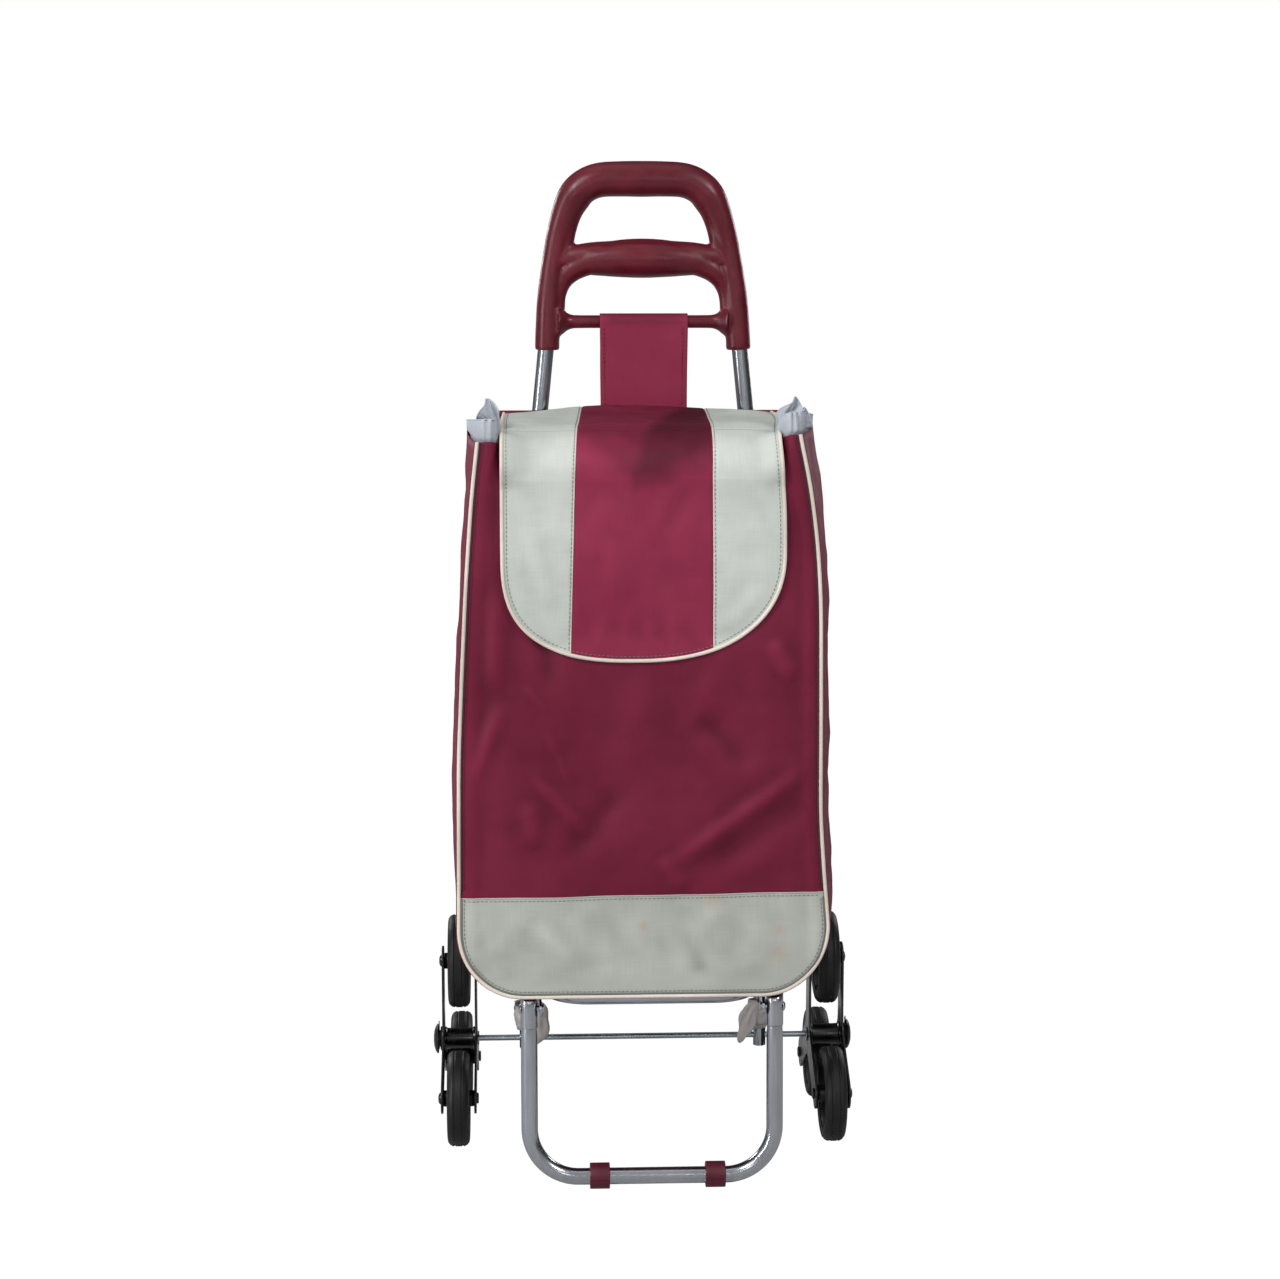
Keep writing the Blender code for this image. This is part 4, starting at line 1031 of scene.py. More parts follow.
# start and end (x, z), half width and height of the front's creases
CREASES = (
    ((-0.150, 0.575), (-0.148, 0.500), 0.011, 0.0040), ((-0.104, 0.560), (-0.096, 0.500), 0.011, -0.0034),
    ((-0.173, 0.565), (-0.171, 0.510), 0.006, -0.0024), ((-0.120, 0.494), (-0.102, 0.474), 0.004, 0.0009),
    ((-0.172, 0.405), (-0.146, 0.470), 0.008, 0.0028), ((-0.097, 0.445), (-0.080, 0.405), 0.004, 0.0008),
    ((-0.108, 0.402), (-0.066, 0.356), 0.006, 0.0019), ((-0.118, 0.380), (-0.112, 0.345), 0.009, 0.0024),
    ((-0.030, 0.395), (-0.078, 0.330), 0.014, -0.0030), ((0.030, 0.330), (0.134, 0.402), 0.009, 0.0036),
    ((0.060, 0.322), (0.142, 0.376), 0.013, -0.0024), ((0.114, 0.530), (0.130, 0.500), 0.008, 0.0028),
    ((0.151, 0.585), (0.150, 0.500), 0.005, 0.0022), ((0.153, 0.385), (0.160, 0.355), 0.004, 0.0018),
    ((-0.012, 0.500), (-0.030, 0.420), 0.018, 0.0020), ((0.048, 0.460), (0.085, 0.420), 0.012, -0.0024),
    ((0.010, 0.325), (0.028, 0.300), 0.009, 0.0018), ((0.075, 0.548), (0.040, 0.470), 0.018, 0.0016),
    ((-0.108, 0.262), (-0.076, 0.226), 0.010, 0.0014), ((0.030, 0.255), (0.050, 0.210), 0.010, -0.0016),
    ((0.062, 0.280), (0.030, 0.240), 0.013, 0.0014), ((0.100, 0.260), (0.085, 0.215), 0.014, 0.0012),
    ((-0.150, 0.240), (-0.120, 0.275), 0.012, 0.0009), ((-0.045, 0.275), (-0.020, 0.225), 0.014, -0.0012),
)


def front_relief(x, z):
    """How far the front stands forward of its flat plane."""
    level = max(z, FRONT_KNEE_Z)
    edge = min(x - left_edge(level), right_edge(level) - x)
    lift = z - BOTTOM_Z
    fade = soft_step(edge, 0.0, 0.030) * soft_step(lift, 0.0, 0.028)
    belly = 0.0045 * math.sin(math.pi * min(1.0, max(0.0, lift / 0.56))) * soft_step(edge, 0.0, 0.120)
    broad = 0.0042 * wander(x, 0.0, z * 0.75, 0.085, 3.1) + 0.0013 * wander(x, 0.0, z, 0.040, 7.7)
    fine = 0.0005 * wander(x, 0.0, z, 0.018, 1.3)
    folds = 1.35 * sum(crease(x, z, *row) for row in CREASES)
    puff = 0.0016 * math.exp(-((edge - 0.011) / 0.007) ** 2)
    relief = belly + fade * (broad + fine + folds) + puff * soft_step(lift, 0.0, 0.03)
    return relief * (1 - 0.95 * under_flap(x, z))


def under_flap(x, z):
    """1 where the flap hides the front, falling to 0 at its edge."""
    half = flap_reach(max(z, FLAP_BOTTOM_Z + 0.0001), 1)
    beside = soft_step(abs(x - FLAP_MIDDLE_X), half - 0.008, half + 0.010)
    return soft_step(z, FLAP_BOTTOM_Z, FLAP_BOTTOM_Z + 0.05) * (1 - beside)


def under_lid(x):
    """1 where the lid covers the front rim, falling to 0 at the lid's corners."""
    return 1 - max(soft_step(-x, 0.1320, 0.1500), soft_step(x, 0.1100, 0.1300))


def rim_drop(x, z):
    """The front's top edge sinks a little under the lid."""
    return RIM_SAG * soft_step(z, RIM_Z - 0.12, RIM_Z) * under_lid(x)


def rim_tuck(x, z):
    """How far the drawn-in lining pulls the front's top edge back under the lid."""
    rise = min(1.0, max(0.0, (z - RIM_Z + TUCK_HEIGHT) / TUCK_HEIGHT))
    return RIM_TUCK * rise ** 2.2 * under_lid(x)


def front_point(x, z, proud=0.0):
    """A point of the front's cloth; proud moves it forward."""
    return (x, FRONT_Y - front_relief(x, z) - proud + rim_tuck(x, z), tilt(x, z) - rim_drop(x, z))


def panel_rows(top, bottom, down, across, inset, proud=0.0):
    """Rows of points over a part of the front, inside its edge."""
    rows = []
    for z in np.linspace(top, bottom, down):
        low = left_edge(max(z, FRONT_KNEE_Z))
        high = right_edge(max(z, FRONT_KNEE_Z))
        if z < FRONT_KNEE_Z:
            drop = min(1.0, (FRONT_KNEE_Z - z) / (BAG_CORNER[1] - inset))
            pull = (BAG_CORNER[0] - inset) * (1 - math.sqrt(1 - drop ** 2))
            low += pull
            high -= pull
        rows.append([front_point(x, z, proud) for x in np.linspace(low + inset, high - inset, across)])
    return rows


def build_front():
    """The burgundy front, the grey kick panel sewn over it, and their seams."""
    inset = 0.0022
    front = cloth_sheet("bag_front", panel_rows(RIM_Z, KICK_TOP_Z - 0.006, 210, 170, inset), "bag")
    stand_in(front, "root", "bag_nylon", "bag_front_panel")
    kick = cloth_sheet("bag_kick", panel_rows(KICK_TOP_Z, BOTTOM_Z + inset, 70, 170, inset, 0.0009), "kick")
    stand_in(kick, "root", "grey_nylon", "bag_kick_panel")
    reach = np.linspace(left_edge(KICK_TOP_Z) + 0.004, right_edge(KICK_TOP_Z) - 0.004, 150)
    hem = [front_point(x, KICK_TOP_Z - 0.0006, 0.0012) for x in reach]
    stand_in(sweep("kick_fold", hem, 0.0007, "kick", 10), "root", "grey_nylon")
    seam = [front_point(x, KICK_TOP_Z - 0.0034, 0.0015) for x in reach]
    stand_in(stitches("kick_stitches", seam, "grey_thread", (0, -1, 0)), "root", "grey_nylon")


def headings(line):
    """The direction of an open 2D line at each of its points."""
    ends = zip(line[:1] + line[:-1], line[1:] + line[-1:])
    return [Vector((after[0] - before[0], after[1] - before[1])).normalized() for before, after in ends]


def shifted(line, inset):
    """A 2D line moved sideways, to its left as it runs."""
    return [(x - along.y * inset, y + along.x * inset) for (x, y), along in zip(line, headings(line))]


def inner_line(inset, proud):
    """The front's outline moved inward, on the cloth."""
    points = []
    for x, z in shifted(FRONT_LINE, inset):
        flat_z = 2 * z - tilt(x, z)
        points.append((x, FRONT_Y - front_relief(x, flat_z) - proud, z))
    return points


def build_edge_piping():
    """The cord round the front, a dark cord inside it that is painted shadow of its sewn-down flange, the
    binding behind it and the stitches beside it.
    """
    cord = smooth_path([(x, FRONT_Y - 0.0012, z) for x, z in FRONT_LINE], 2)
    stand_in(sweep("front_piping", cord, PIPING_RADIUS, "piping", 16), "root", "piping", "piping_front")
    outer = [(x, FRONT_Y + 0.0018, z) for x, z in shifted(FRONT_LINE, -0.0013)]
    stand_in(sweep("edge_binding", smooth_path(outer, 2), 0.0015, "binding", 12), "root", "bag_nylon")
    beside_kick = [index for index, (x, z) in enumerate(FRONT_LINE) if z < tilt(x, KICK_TOP_Z)]
    low = beside_kick[0]
    high = beside_kick[-1] + 1
    runs = (("dark_thread", 0, low, "bag_nylon", 0.0006), ("grey_thread", low, high, "grey_nylon", 0.0014),
            ("dark_thread", high, len(FRONT_LINE), "bag_nylon", 0.0006))
    for index, (material, start, end, slot, lift) in enumerate(runs):
        # a cord in thread colour just inside the piping: painted shadow of the seam's flange, dark beside the
        # burgundy and grey beside the kick
        line = inner_line(0.0028, lift)[start:end]
        shadow_cord = sweep(f"edge_shadow_cord_{index}", smooth_path(line, 2), 0.0009, material, 8)
        stand_in(shadow_cord, "root", slot)
        line = inner_line(0.0052, lift + 0.0004)[start:end]
        stand_in(stitches(f"edge_stitches_{index}", line, material, (0, -1, 0)), "root", slot)


def gusset_point(share, index):
    """A point of the side and bottom strip; share runs from the front to the back."""
    front_x, front_z = FRONT_LINE[index]
    back_x, back_z = BACK_LINE[index]
    x = front_x + (back_x - front_x) * share
    y = FRONT_Y + 0.0012 + (BACK_Y - FRONT_Y - 0.0012) * share
    z = front_z + (back_z - front_z) * soft_step(share, 0.0, 0.25 if front_z < 0.24 else 1.0)
    side = math.copysign(1.0, x)
    reach = abs((left_side if side < 0 else right_side)(z)) - abs(front_x + back_x) / 2
    swell = reach * soft_step(z, BOTTOM_Z + 0.03, 0.265) * math.sin(math.pi * share) ** 0.9
    fold = 0.0030 * wander(y, z * 0.45, side * 3.0, 0.045, 5.0)
    fold += 0.0016 * wander(y, z, side * 5.0, 0.022, 2.0)
    fold -= 0.0035 * math.exp(-((share - 0.5) / 0.05) ** 2) * (0.5 + 0.5 * wander(z, side, 0.0, 0.12, 9.0))
    fade = math.sin(math.pi * share) * max(soft_step(z, BOTTOM_Z + 0.02, 0.30), 0.15)
    fade *= 1 - 0.9 * soft_step(z, RIM_Z - 0.05, RIM_Z - 0.005)
    return (x + side * (swell + fold * fade), y, z)


def build_gusset():
    """The strip round the sides and the bottom, swelling out half-way back, with soft folds."""
    rows = [[gusset_point(share, index) for index in range(len(FRONT_LINE))]
            for share in np.linspace(0, 1, 46)]
    gusset = cloth_sheet("bag_gusset_cloth", rows, "bag")
    stand_in(gusset, "root", "bag_nylon", "bag_gusset")


def build_back():
    """The back, the binding round it and the board inside the bag."""
    rows = []
    for z in np.linspace(LID_REAR_Z - 0.003, BACK_BOTTOM_Z + 0.001, 120):
        half = back_edge(max(z, BACK_KNEE_Z))
        drop = max(0.0, (BACK_KNEE_Z - z) / BAG_CORNER[1])
        half -= BAG_CORNER[0] * (1 - math.sqrt(max(0.0, 1 - drop ** 2)))
        row = []
        for x in np.linspace(half, -half, 90):
            edge = half - abs(x)
            relief = 0.0022 * abs(wander(x, 1.0, z, 0.07, 4.0)) + 0.0010 * abs(wander(x, 2.0, z, 0.03, 8.0))
            row.append((x, BACK_Y - relief * soft_step(edge, 0.0, 0.03), z))
        rows.append(row)
    back = cloth_sheet("bag_back", rows, "bag")
    stand_in(back, "root", "bag_nylon", "bag_back_panel")
    cord = [(x, BACK_Y + 0.0002, z) for x, z in BACK_LINE]
    stand_in(sweep("back_binding", smooth_path(cord, 2), 0.0019, "binding", 12), "root", "bag_nylon")
    low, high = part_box("bag_base_board")
    reach = (high - low) / 2
    corners = [(-reach.x, -reach.y), (reach.x, -reach.y), (reach.x, reach.y), (-reach.x, reach.y)]
    board = flat_plate("base_board", (rounded(corners, 0.012, 6),), 2 * reach.z, 0.0006, "board",
                       Matrix.Translation((low + high) / 2))
    stand_in(board, "root", "base_board", "bag_base_board")


def build_collar():
    """A lining band on the rim, high at the front's outer corners and bunched beside the lid."""
    loop = rim_loop()
    rows = []
    for level in np.linspace(1, 0, 13):
        row = []
        for x, y, low, top, bunch, normal in loop:
            height = low + (top - low) * level
            gather = bunch * (0.0026 * math.sin(x * 900 + y * 400) * (0.3 + level))
            gather += 0.0012 * wander(x, y, height, 0.018, 6.0) * (0.2 + 0.8 * level)
            lean = -0.0035 * level ** 2 * bunch
            out = (gather + lean + 0.0028) * soft_step(height, low + 0.0068, low + 0.0110) - 0.0028
            row.append((x + normal[0] * out, y + normal[1] * out, height))
        rows.append(row)
    collar = cloth_sheet("collar_band", rows, "collar", 0.0007, closed=True)
    stand_in(collar, "root", "collar_cloth", "bag_collar")
    hem = smooth_path(rows[0][::2] + rows[0][:1], 2)
    stand_in(sweep("collar_hem", hem, 0.00075, "collar", 8), "root", "collar_cloth")


# for each side: the ruffle's outline as (angle, reach), the place it is pinched at and its number of pleats
RUFFLES = (
    (((168, 0.0200), (150, 0.0235), (125, 0.0255), (108, 0.0290), (97, 0.0150)), (-0.1420, 0.7340), 1.4),
    (((92, 0.0110), (72, 0.0240), (56, 0.0330), (44, 0.0280), (33, 0.0310), (14, 0.0300), (-4, 0.0280)),
     (0.1195, 0.7330), 3.0),
)


def build_ruffles():
    """Bunches of spare lining pinched at the lid's front corners and standing up in pleats."""
    for (side, sign), (outline, (pinch_x, pinch_z), pleats) in zip(SIDES, RUFFLES):
        angles, reaches = zip(*smooth_path(outline, 16))
        shares = [index / (len(angles) - 1) for index in range(len(angles))]
        rows = []
        for level in np.linspace(0.0, 1.0, 34):
            row = []
            for share, angle, reach in zip(shares, angles, reaches):
                wave = math.sin(2 * math.pi * pleats * share + 0.8 + 0.5 * level)
                depth = 0.0052 * level ** 0.7 * wave
                depth += 0.0012 * wander(angle * 0.004, level * 0.03, sign, 0.012, 3.0)
                x, up = polar(0.0015 + reach * level, angle + 5.0 * wave * level)
                row.append((pinch_x + x, FRONT_Y + 0.030 + depth, pinch_z + up))
            rows.append(row)
        ruffle = cloth_sheet(f"collar_ruffle_{side}", rows, "collar", 0.0008)
        stand_in(ruffle, "root", "collar_cloth")
        stand_in(sweep(f"ruffle_hem_{side}", rows[-1], 0.0008, "collar", 8), "root", "collar_cloth")


def rim_loop():
    """The collar's (x, y, foot height, top height, bunching, outward direction) round the rim."""
    left_corner = FRONT_LINE[0][0] + 0.006
    right_corner = FRONT_LINE[-1][0] - 0.006
    last = len(FRONT_LINE) - 1
    sides = [[gusset_point(share, index)[:2] for share in shares][2:-2]
             for index, shares in ((0, np.linspace(0, 1, 60)), (last, np.linspace(1, 0, 60)))]
    front = [(x, FRONT_Y) for x in np.linspace(right_corner, left_corner, 240)]
    back = [(x, BACK_Y - 0.0042) for x in np.linspace(-0.144, 0.144, 140)]
    line = even(front + sides[0] + back + sides[1] + front[:1], 620)[:-1]
    result = []
    for index, (x, y) in enumerate(line):
        before = line[index - 1]
        after = line[(index + 1) % len(line)]
        along = Vector((after[0] - before[0], after[1] - before[1])).normalized()
        depth = (y - FRONT_Y) / (BACK_Y - FRONT_Y)
        rim = (tilt(x, RIM_Z) - rim_drop(x, RIM_Z)) * (1 - depth) + BACK_RIM_Z * depth
        beside = max(soft_step(-x, 0.1385, 0.1450), soft_step(x, 0.1140, 0.1215))
        bunch = max(math.exp(-((x + 0.1440) / 0.012) ** 2), math.exp(-((x - 0.1280) / 0.014) ** 2))
        top = rim + 0.0006 + COLLAR_HEIGHT * beside * (1 - depth) - 0.005 * depth
        y += rim_tuck(x, RIM_Z) * max(0.0, 1 - depth / 0.12)
        result.append((x, y, rim - 0.0075, top, bunch * math.exp(-(depth / 0.3) ** 2), (-along.y, along.x)))
    return result


# ---------------------------------------------------------------- lid
def flap_reach(z, side):
    """How far the flap's left (-1) or right (1) edge is from its middle."""
    if z >= FLAP_ROUND_Z:
        return FLAP_HALF
    drop = min(1.0, (FLAP_ROUND_Z - z) / (FLAP_ROUND_Z - FLAP_BOTTOM_Z))
    power = FLAP_POWER[side]
    return FLAP_HALF * max(0.0, 1 - drop ** power) ** (1 / power)


def measured_path(points):
    """A smooth line through (y, z) points, with the distance along it to each of its points."""
    line = np.array(smooth_path(points, 24))
    return distances(line), line


# the lid's middle line: distance behind the flap and height
ROLL = ((0.155, 0.7438), (0.110, 0.7421), (0.080, 0.7400), (0.055, 0.7366), (0.036, 0.7316), (0.020, 0.7240),
        (0.009, 0.7145), (0.0025, 0.7030), (0.0, 0.6900), (0.0, 0.6760))
LID_RUN, LID_LINE = measured_path([(LID_REAR_Y, LID_REAR_Z)] + [(LID_FRONT_Y + back, z) for back, z in ROLL]
                                  + [(LID_FRONT_Y, FLAP_BOTTOM_Z + 0.07), (LID_FRONT_Y, FLAP_BOTTOM_Z)])


def lid_path(distance):
    """(y, z) on the lid's middle line, at a distance from the rear edge."""
    return tuple(float(np.interp(distance, LID_RUN, LID_LINE[:, axis])) for axis in (0, 1))


FLAP_LENGTH = float(LID_RUN[-1])
FOLD_START = float(np.interp(-(LID_FRONT_Y + 0.036), -LID_LINE[:200, 0], LID_RUN[:200]))
FOLD_END = FLAP_LENGTH - (0.690 - FLAP_BOTTOM_Z)


def lid_edges(distance):
    """x of the lid's left and right edges at a distance from the rear edge."""
    z = lid_path(distance)[1]
    share = soft_step(distance, 0.0, FOLD_END)
    pinch = 0.0048 * math.exp(-((distance - FOLD_START - 0.02) / 0.045) ** 2)
    left = -0.1400 * (1 - share) + (FLAP_MIDDLE_X - flap_reach(z, -1)) * share
    right = 0.1290 * (1 - share) + (FLAP_MIDDLE_X + flap_reach(z, 1)) * share
    return left, right - pinch


def seam_x(distance, side):
    """x of the seams between the lid's middle and its sides."""
    share = min(1.0, distance / FOLD_END)
    down = max(0.0, (distance - FOLD_END) / (FLAP_LENGTH - FOLD_END))
    if side < 0:
        return -0.0620 - 0.0110 * share - 0.0045 * down
    return 0.0610 - 0.0050 * share + 0.0010 * down


# start and end (x, height above the fold's end), half width and height of the flap's creases
FLAP_CREASES = (
    ((-0.118, -0.055), (-0.098, -0.115), 0.009, 0.0010), ((0.070, -0.140), (0.100, -0.105), 0.010, 0.0010),
    ((-0.035, -0.065), (-0.050, -0.125), 0.012, 0.0014), ((0.020, -0.045), (0.046, -0.115), 0.014, 0.0016),
    ((-0.045, -0.020), (-0.060, -0.070), 0.014, 0.0014), ((0.035, -0.010), (0.012, -0.050), 0.010, -0.0012),
)


def v_fold(x, down):
    """1 in the hollow above the flap's V-shaped fold, 0 outside it."""
    off = x + 0.016
    arm = 1.00 * abs(off) if off < 0 else 0.60 * abs(off) - 2.6 * off ** 2
    blunt = 0.009 * math.exp(-(off / 0.016) ** 2)
    notch = down - (0.022 - arm - blunt + 0.004 * wander(x, down, 0.0, 0.02, 9.0))
    soft = 0.020 + 0.16 * abs(off)
    return 1 - soft_step(notch, -soft, 0.35 * soft)


def v_fold_painted_shade(x, down):
    """Painted shade on the lid's middle from the rear edge to the V fold, strongest right of the point."""
    right = soft_step(x, -0.026 - 0.25 * down, -0.008 - 0.25 * down)
    return -v_fold(x, down) * (0.95 + 0.95 * right + 0.2 * wander(x, down, 0.0, 0.03, 4.4))


def lid_relief(x, distance):
    """How far the lid's cloth stands off its plain path."""
    low, high = lid_edges(distance)
    edge = min(x - low, high - x)
    down = distance - FOLD_END
    relief = 0.0
    on_top = 1 - soft_step(distance, FOLD_START - 0.040, FOLD_START)
    if down > -0.02:
        share = max(0.0, down / (FLAP_LENGTH - FOLD_END))
        hang = 0.0055 * math.sin(math.pi * min(1.0, share * 1.05)) * soft_step(share, 0.0, 0.3)
        centre = x - FLAP_MIDDLE_X
        hollow = -0.0026 * v_fold(x, down) * soft_step(down, -0.014, 0.025)
        hollow *= 1 - soft_step(abs(centre), 0.045, 0.065)
        ripples = 0.0015 * math.sin(centre * 210 + 2.2 * math.sin(centre * 40)) * soft_step(share, 0.70, 1.0)
        ripples *= 1 - soft_step(abs(centre), 0.07, 0.1)
        relief += hang + hollow + ripples
        relief += sum(crease(x, -down, *row) for row in FLAP_CREASES)
    bulge = soft_step(distance, FOLD_START, FOLD_START + 0.025)
    bulge -= soft_step(distance, FOLD_END - 0.012, FOLD_END + 0.012)
    relief += 0.0090 * math.exp(-(edge / 0.016) ** 2) * bulge
    sag = -0.0035 * math.sin(math.pi * min(1.0, distance / FOLD_START)) * soft_step(edge, 0.0, 0.05)
    relief += (sag + 0.0015 * wander(x, distance, 0.0, 0.06, 12.0)) * on_top
    for side in (-1, 1):
        relief -= 0.0009 * math.exp(-((x - seam_x(distance, side)) / 0.0016) ** 2)
    broad = 0.0016 * wander(x, distance, 4.0, 0.055, 2.2) + 0.0005 * wander(x, distance, 6.0, 0.020, 5.1)
    return relief + broad * soft_step(edge, 0.0, 0.02)


def lid_point(x, distance, proud=0.0):
    """A point of the lid's cloth; relief stands out along the path's normal."""
    y, z = lid_path(distance)
    ahead_y, ahead_z = lid_path(distance + 0.0005)
    along = Vector((0, ahead_y - y, ahead_z - z)).normalized()
    normal = Vector((0, along.z, -along.y))
    rear = 1 - min(1.0, distance / FOLD_START)
    crown = 0.0012 * rear - 0.0085 * rear * (abs(x + 0.004) / 0.135) ** 1.6
    out = lid_relief(x, distance) + proud
    slant = 0.006 * (x - FLAP_MIDDLE_X) * soft_step(distance, FOLD_START, FOLD_END)
    y += normal.y * out
    z += normal.z * out + crown + slant + 0.0008
    clear = soft_step(distance, FOLD_END - 0.006, FOLD_END + 0.05)
    if clear:
        y += (lower_of(y, FRONT_Y - front_relief(x, z) - 0.0020 - proud, 0.002) - y) * clear
    return (x, y, z)


def lower_of(first, second, soft):
    """The lower of two values, rounded off where they are close."""
    return (first + second - math.sqrt((first - second) ** 2 + soft ** 2)) / 2


def lid_rows(start, end, count, across):
    """Rows of points of the lid, with columns on both seams, and the painted shade above its V fold."""
    rows = []
    painted_shades = []
    for distance in np.linspace(start, end, count):
        low, high = lid_edges(distance)
        left = min(max(seam_x(distance, -1), low), high)
        right = max(min(seam_x(distance, 1), high), low)
        places = (list(np.linspace(low, left, across)) + list(np.linspace(left, right, 2 * across))[1:]
                  + list(np.linspace(right, high, across))[1:])
        rows.append([lid_point(x, distance) for x in places])
        # painted shade above the V fold, on the burgundy middle only
        painted_shades.append([v_fold_painted_shade(x, distance - FOLD_END) if left < x < right else 0.0 for x in places])
    return rows, np.array(painted_shades)


def paint_middle(item, across):
    """Give the lid's middle its burgundy cloth."""
    columns = 4 * across - 2
    item.data.materials.append(MATERIALS["centre"])
    for polygon in item.data.polygons:
        column = min(index % columns for index in polygon.vertices)
        if across - 1 <= column < 3 * across - 2:
            polygon.material_index = 1


def build_lid():
    """The lid's top and flap, their edge cords, seams and stitches."""
    across = 30
    fold_point = lid_path(FOLD_START)
    end_point = lid_path(FOLD_END + 0.006)
    hinge = ((0, LID_REAR_Y, LID_REAR_Z), (0, LID_REAR_Y - 0.030, LID_REAR_Z - 0.002))
    fold = ((0, fold_point[0] + 0.002, fold_point[1] + 0.004), (0, end_point[0], end_point[1]))
    # the second list from lid_rows is painted shade above the V fold, added to the cloth's own painted shade
    rows, painted_shades = lid_rows(0.0, FOLD_START, 80, across)
    top = cloth_sheet("lid_top_cloth", rows, "grey", tone=painted_shades)
    paint_middle(top, across)
    rows, painted_shades = lid_rows(FOLD_START, FLAP_LENGTH - 0.0006, 130, across)
    flap = cloth_sheet("lid_flap_cloth", rows, "grey", tone=painted_shades)
    paint_middle(flap, across)
    bend_piece(top, "lid_nylon", "root", "lid_top", hinge, "lid_top_panel")
    bend_piece(flap, "lid_nylon", "lid_top", "lid_flap", fold, "lid_front_flap")
    lid_trim("top", 0.0, FOLD_START, 60, "root", "lid_top", hinge)
    lid_trim("flap", FOLD_START, FLAP_LENGTH, 120, "lid_top", "lid_flap", fold)


def bend_piece(item, slot, first, second, span, *nodes):
    """The piece's transform is baked into its mesh and it stands for CAD nodes; slot, first, second and span
    are not used.
    """
    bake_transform(item)
    if nodes:
        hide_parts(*nodes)


def edge_walk(start, end, count, inset):
    """Lines of (x, distance): the lid's two edges, or one line round the flap's rounded end."""
    steps = np.linspace(start, end, count)
    if end < FLAP_LENGTH:
        return [[(lid_edges(d)[side] + (inset, -inset)[side], d) for d in steps] for side in (0, 1)]
    round_height = FLAP_ROUND_Z - FLAP_BOTTOM_Z
    upper = [(lid_edges(d)[0], d) for d in np.linspace(start, FLAP_LENGTH - 0.03, count // 2)
             if d < FLAP_LENGTH - round_height - 0.002]
    lower = []
    for step in range(1, 90):
        angle = math.pi * step / 90
        power = 2 / FLAP_POWER[-1 if angle < math.pi / 2 else 1]
        reach = math.copysign(abs(math.cos(angle)) ** power, math.cos(angle))
        drop = abs(math.sin(angle)) ** power
        lower.append((FLAP_MIDDLE_X - FLAP_HALF * reach, FLAP_LENGTH - round_height + drop * round_height))
    mirrored = [(lid_edges(d)[1], d) for _, d in reversed(upper)]
    return [shifted(even(upper + lower + mirrored, 2 * count), -inset)]


def lid_trim(part, start, end, count, first, second, span):
    """Edge cord, edge stitches and seam lines of one part of the lid."""
    outward = (0, -0.7, 0.7) if part == "top" else (0, -1, 0)

    def cord(name, walk, radius, sides, slot):
        """A cord on the lid along (x, distance) points."""
        line = [lid_point(x, d, 0.0004) for x, d in walk]
        bend_piece(sweep(f"lid_{part}_{name}", line, radius, "piping", sides), slot, first, second, span)

    def stitch(name, walk):
        """A row of stitches on the lid along (x, distance) points."""
        line = [lid_point(x, d, 0.0006) for x, d in walk]
        threads = stitches(f"lid_{part}_{name}", line, "grey_thread", outward)
        bend_piece(threads, "lid_nylon", first, second, span)

    for index, walk in enumerate(edge_walk(start, end, count, 0.0)):
        cord(f"piping_{index}", walk, PIPING_RADIUS, 14, "piping")
    for index, walk in enumerate(edge_walk(start, end, count, 0.0042)):
        stitch(f"edge_stitches_{index}", walk)
    for side, sign in SIDES:
        steps = [d for d in np.linspace(start, end, count) if abs(lid_edges(d)[sign > 0] - FLAP_MIDDLE_X)
                 > abs(seam_x(d, sign) - FLAP_MIDDLE_X) + 0.003]
        cord(f"seam_{side}", [(seam_x(d, sign) + sign * 0.0004, d) for d in steps], 0.0006, 8, "lid_nylon")
        stitch(f"seam_stitches_{side}", [(seam_x(d, sign) + sign * 0.0019, d) for d in steps])


# ---------------------------------------------------------------- strap and ties
STRAP_WRAP = 0.0079             # from the bar's middle to the middle of the band round it
STRAP_LOW_Z = LID_REAR_Z - 0.022


def strap_width(z):
    """The strap's width at a height, as a share of its width on the bar."""
    return 1.0 - 0.022 * soft_step(BAR_Z - z, 0.01, 0.09)


def build_strap():
    """A band sewn behind the lid that loops over the handle's crossbar."""
    half = size("hanging_strap").x / 2
    profile = [(-STRAP_WRAP - 0.0008, STRAP_LOW_Z), (-STRAP_WRAP - 0.0008, 0.775)]
    profile.append((-STRAP_WRAP - 0.0004, 0.810))
    profile += arc((0, BAR_Z), STRAP_WRAP, 180, -30, 14)
    profile += [(0.0006, 0.8205), (-0.0050, 0.8120), (-0.0068, 0.800), (-0.0070, STRAP_LOW_Z)]
    line = even(smooth_path(profile, 6), 120)
    rows = []
    for index, (y, z) in enumerate(line):
        hang = soft_step(BAR_Z - z, 0.0, 0.05)
        outward = -1 if index < len(line) // 2 else 1
        row = []
        for x in np.linspace(-half, half, 60):
            hem = math.exp(-((half - abs(x) - 0.0035) / 0.0020) ** 2)
            ripple = 0.0006 * wander(x, 0.0, z, 0.03, 3.0) + 0.0005 * hem
            wave = 0.0007 * wander(math.copysign(1.0, x), index * 0.02, 0.0, 0.5, 4.0)
            out = abs(ripple) * hang if outward < 0 else 0.0
            row.append((x * strap_width(z) + wave + 0.0005, POST_Y + y - out, z))
        rows.append(row)
    strap = cloth_sheet("strap_band", rows, "strap", 0.0009)
    stand_in(strap, "root", "strap_nylon", "hanging_strap")
    for side, sign in SIDES:
        line = [(sign * (half - 0.0045) * strap_width(z), POST_Y - STRAP_WRAP - 0.0018, z)
                for z in np.linspace(STRAP_LOW_Z + 0.024, 0.826, 40)]
        stand_in(stitches(f"strap_stitches_{side}", line, "dark_thread", (0, -1, 0)), "root", "strap_nylon")


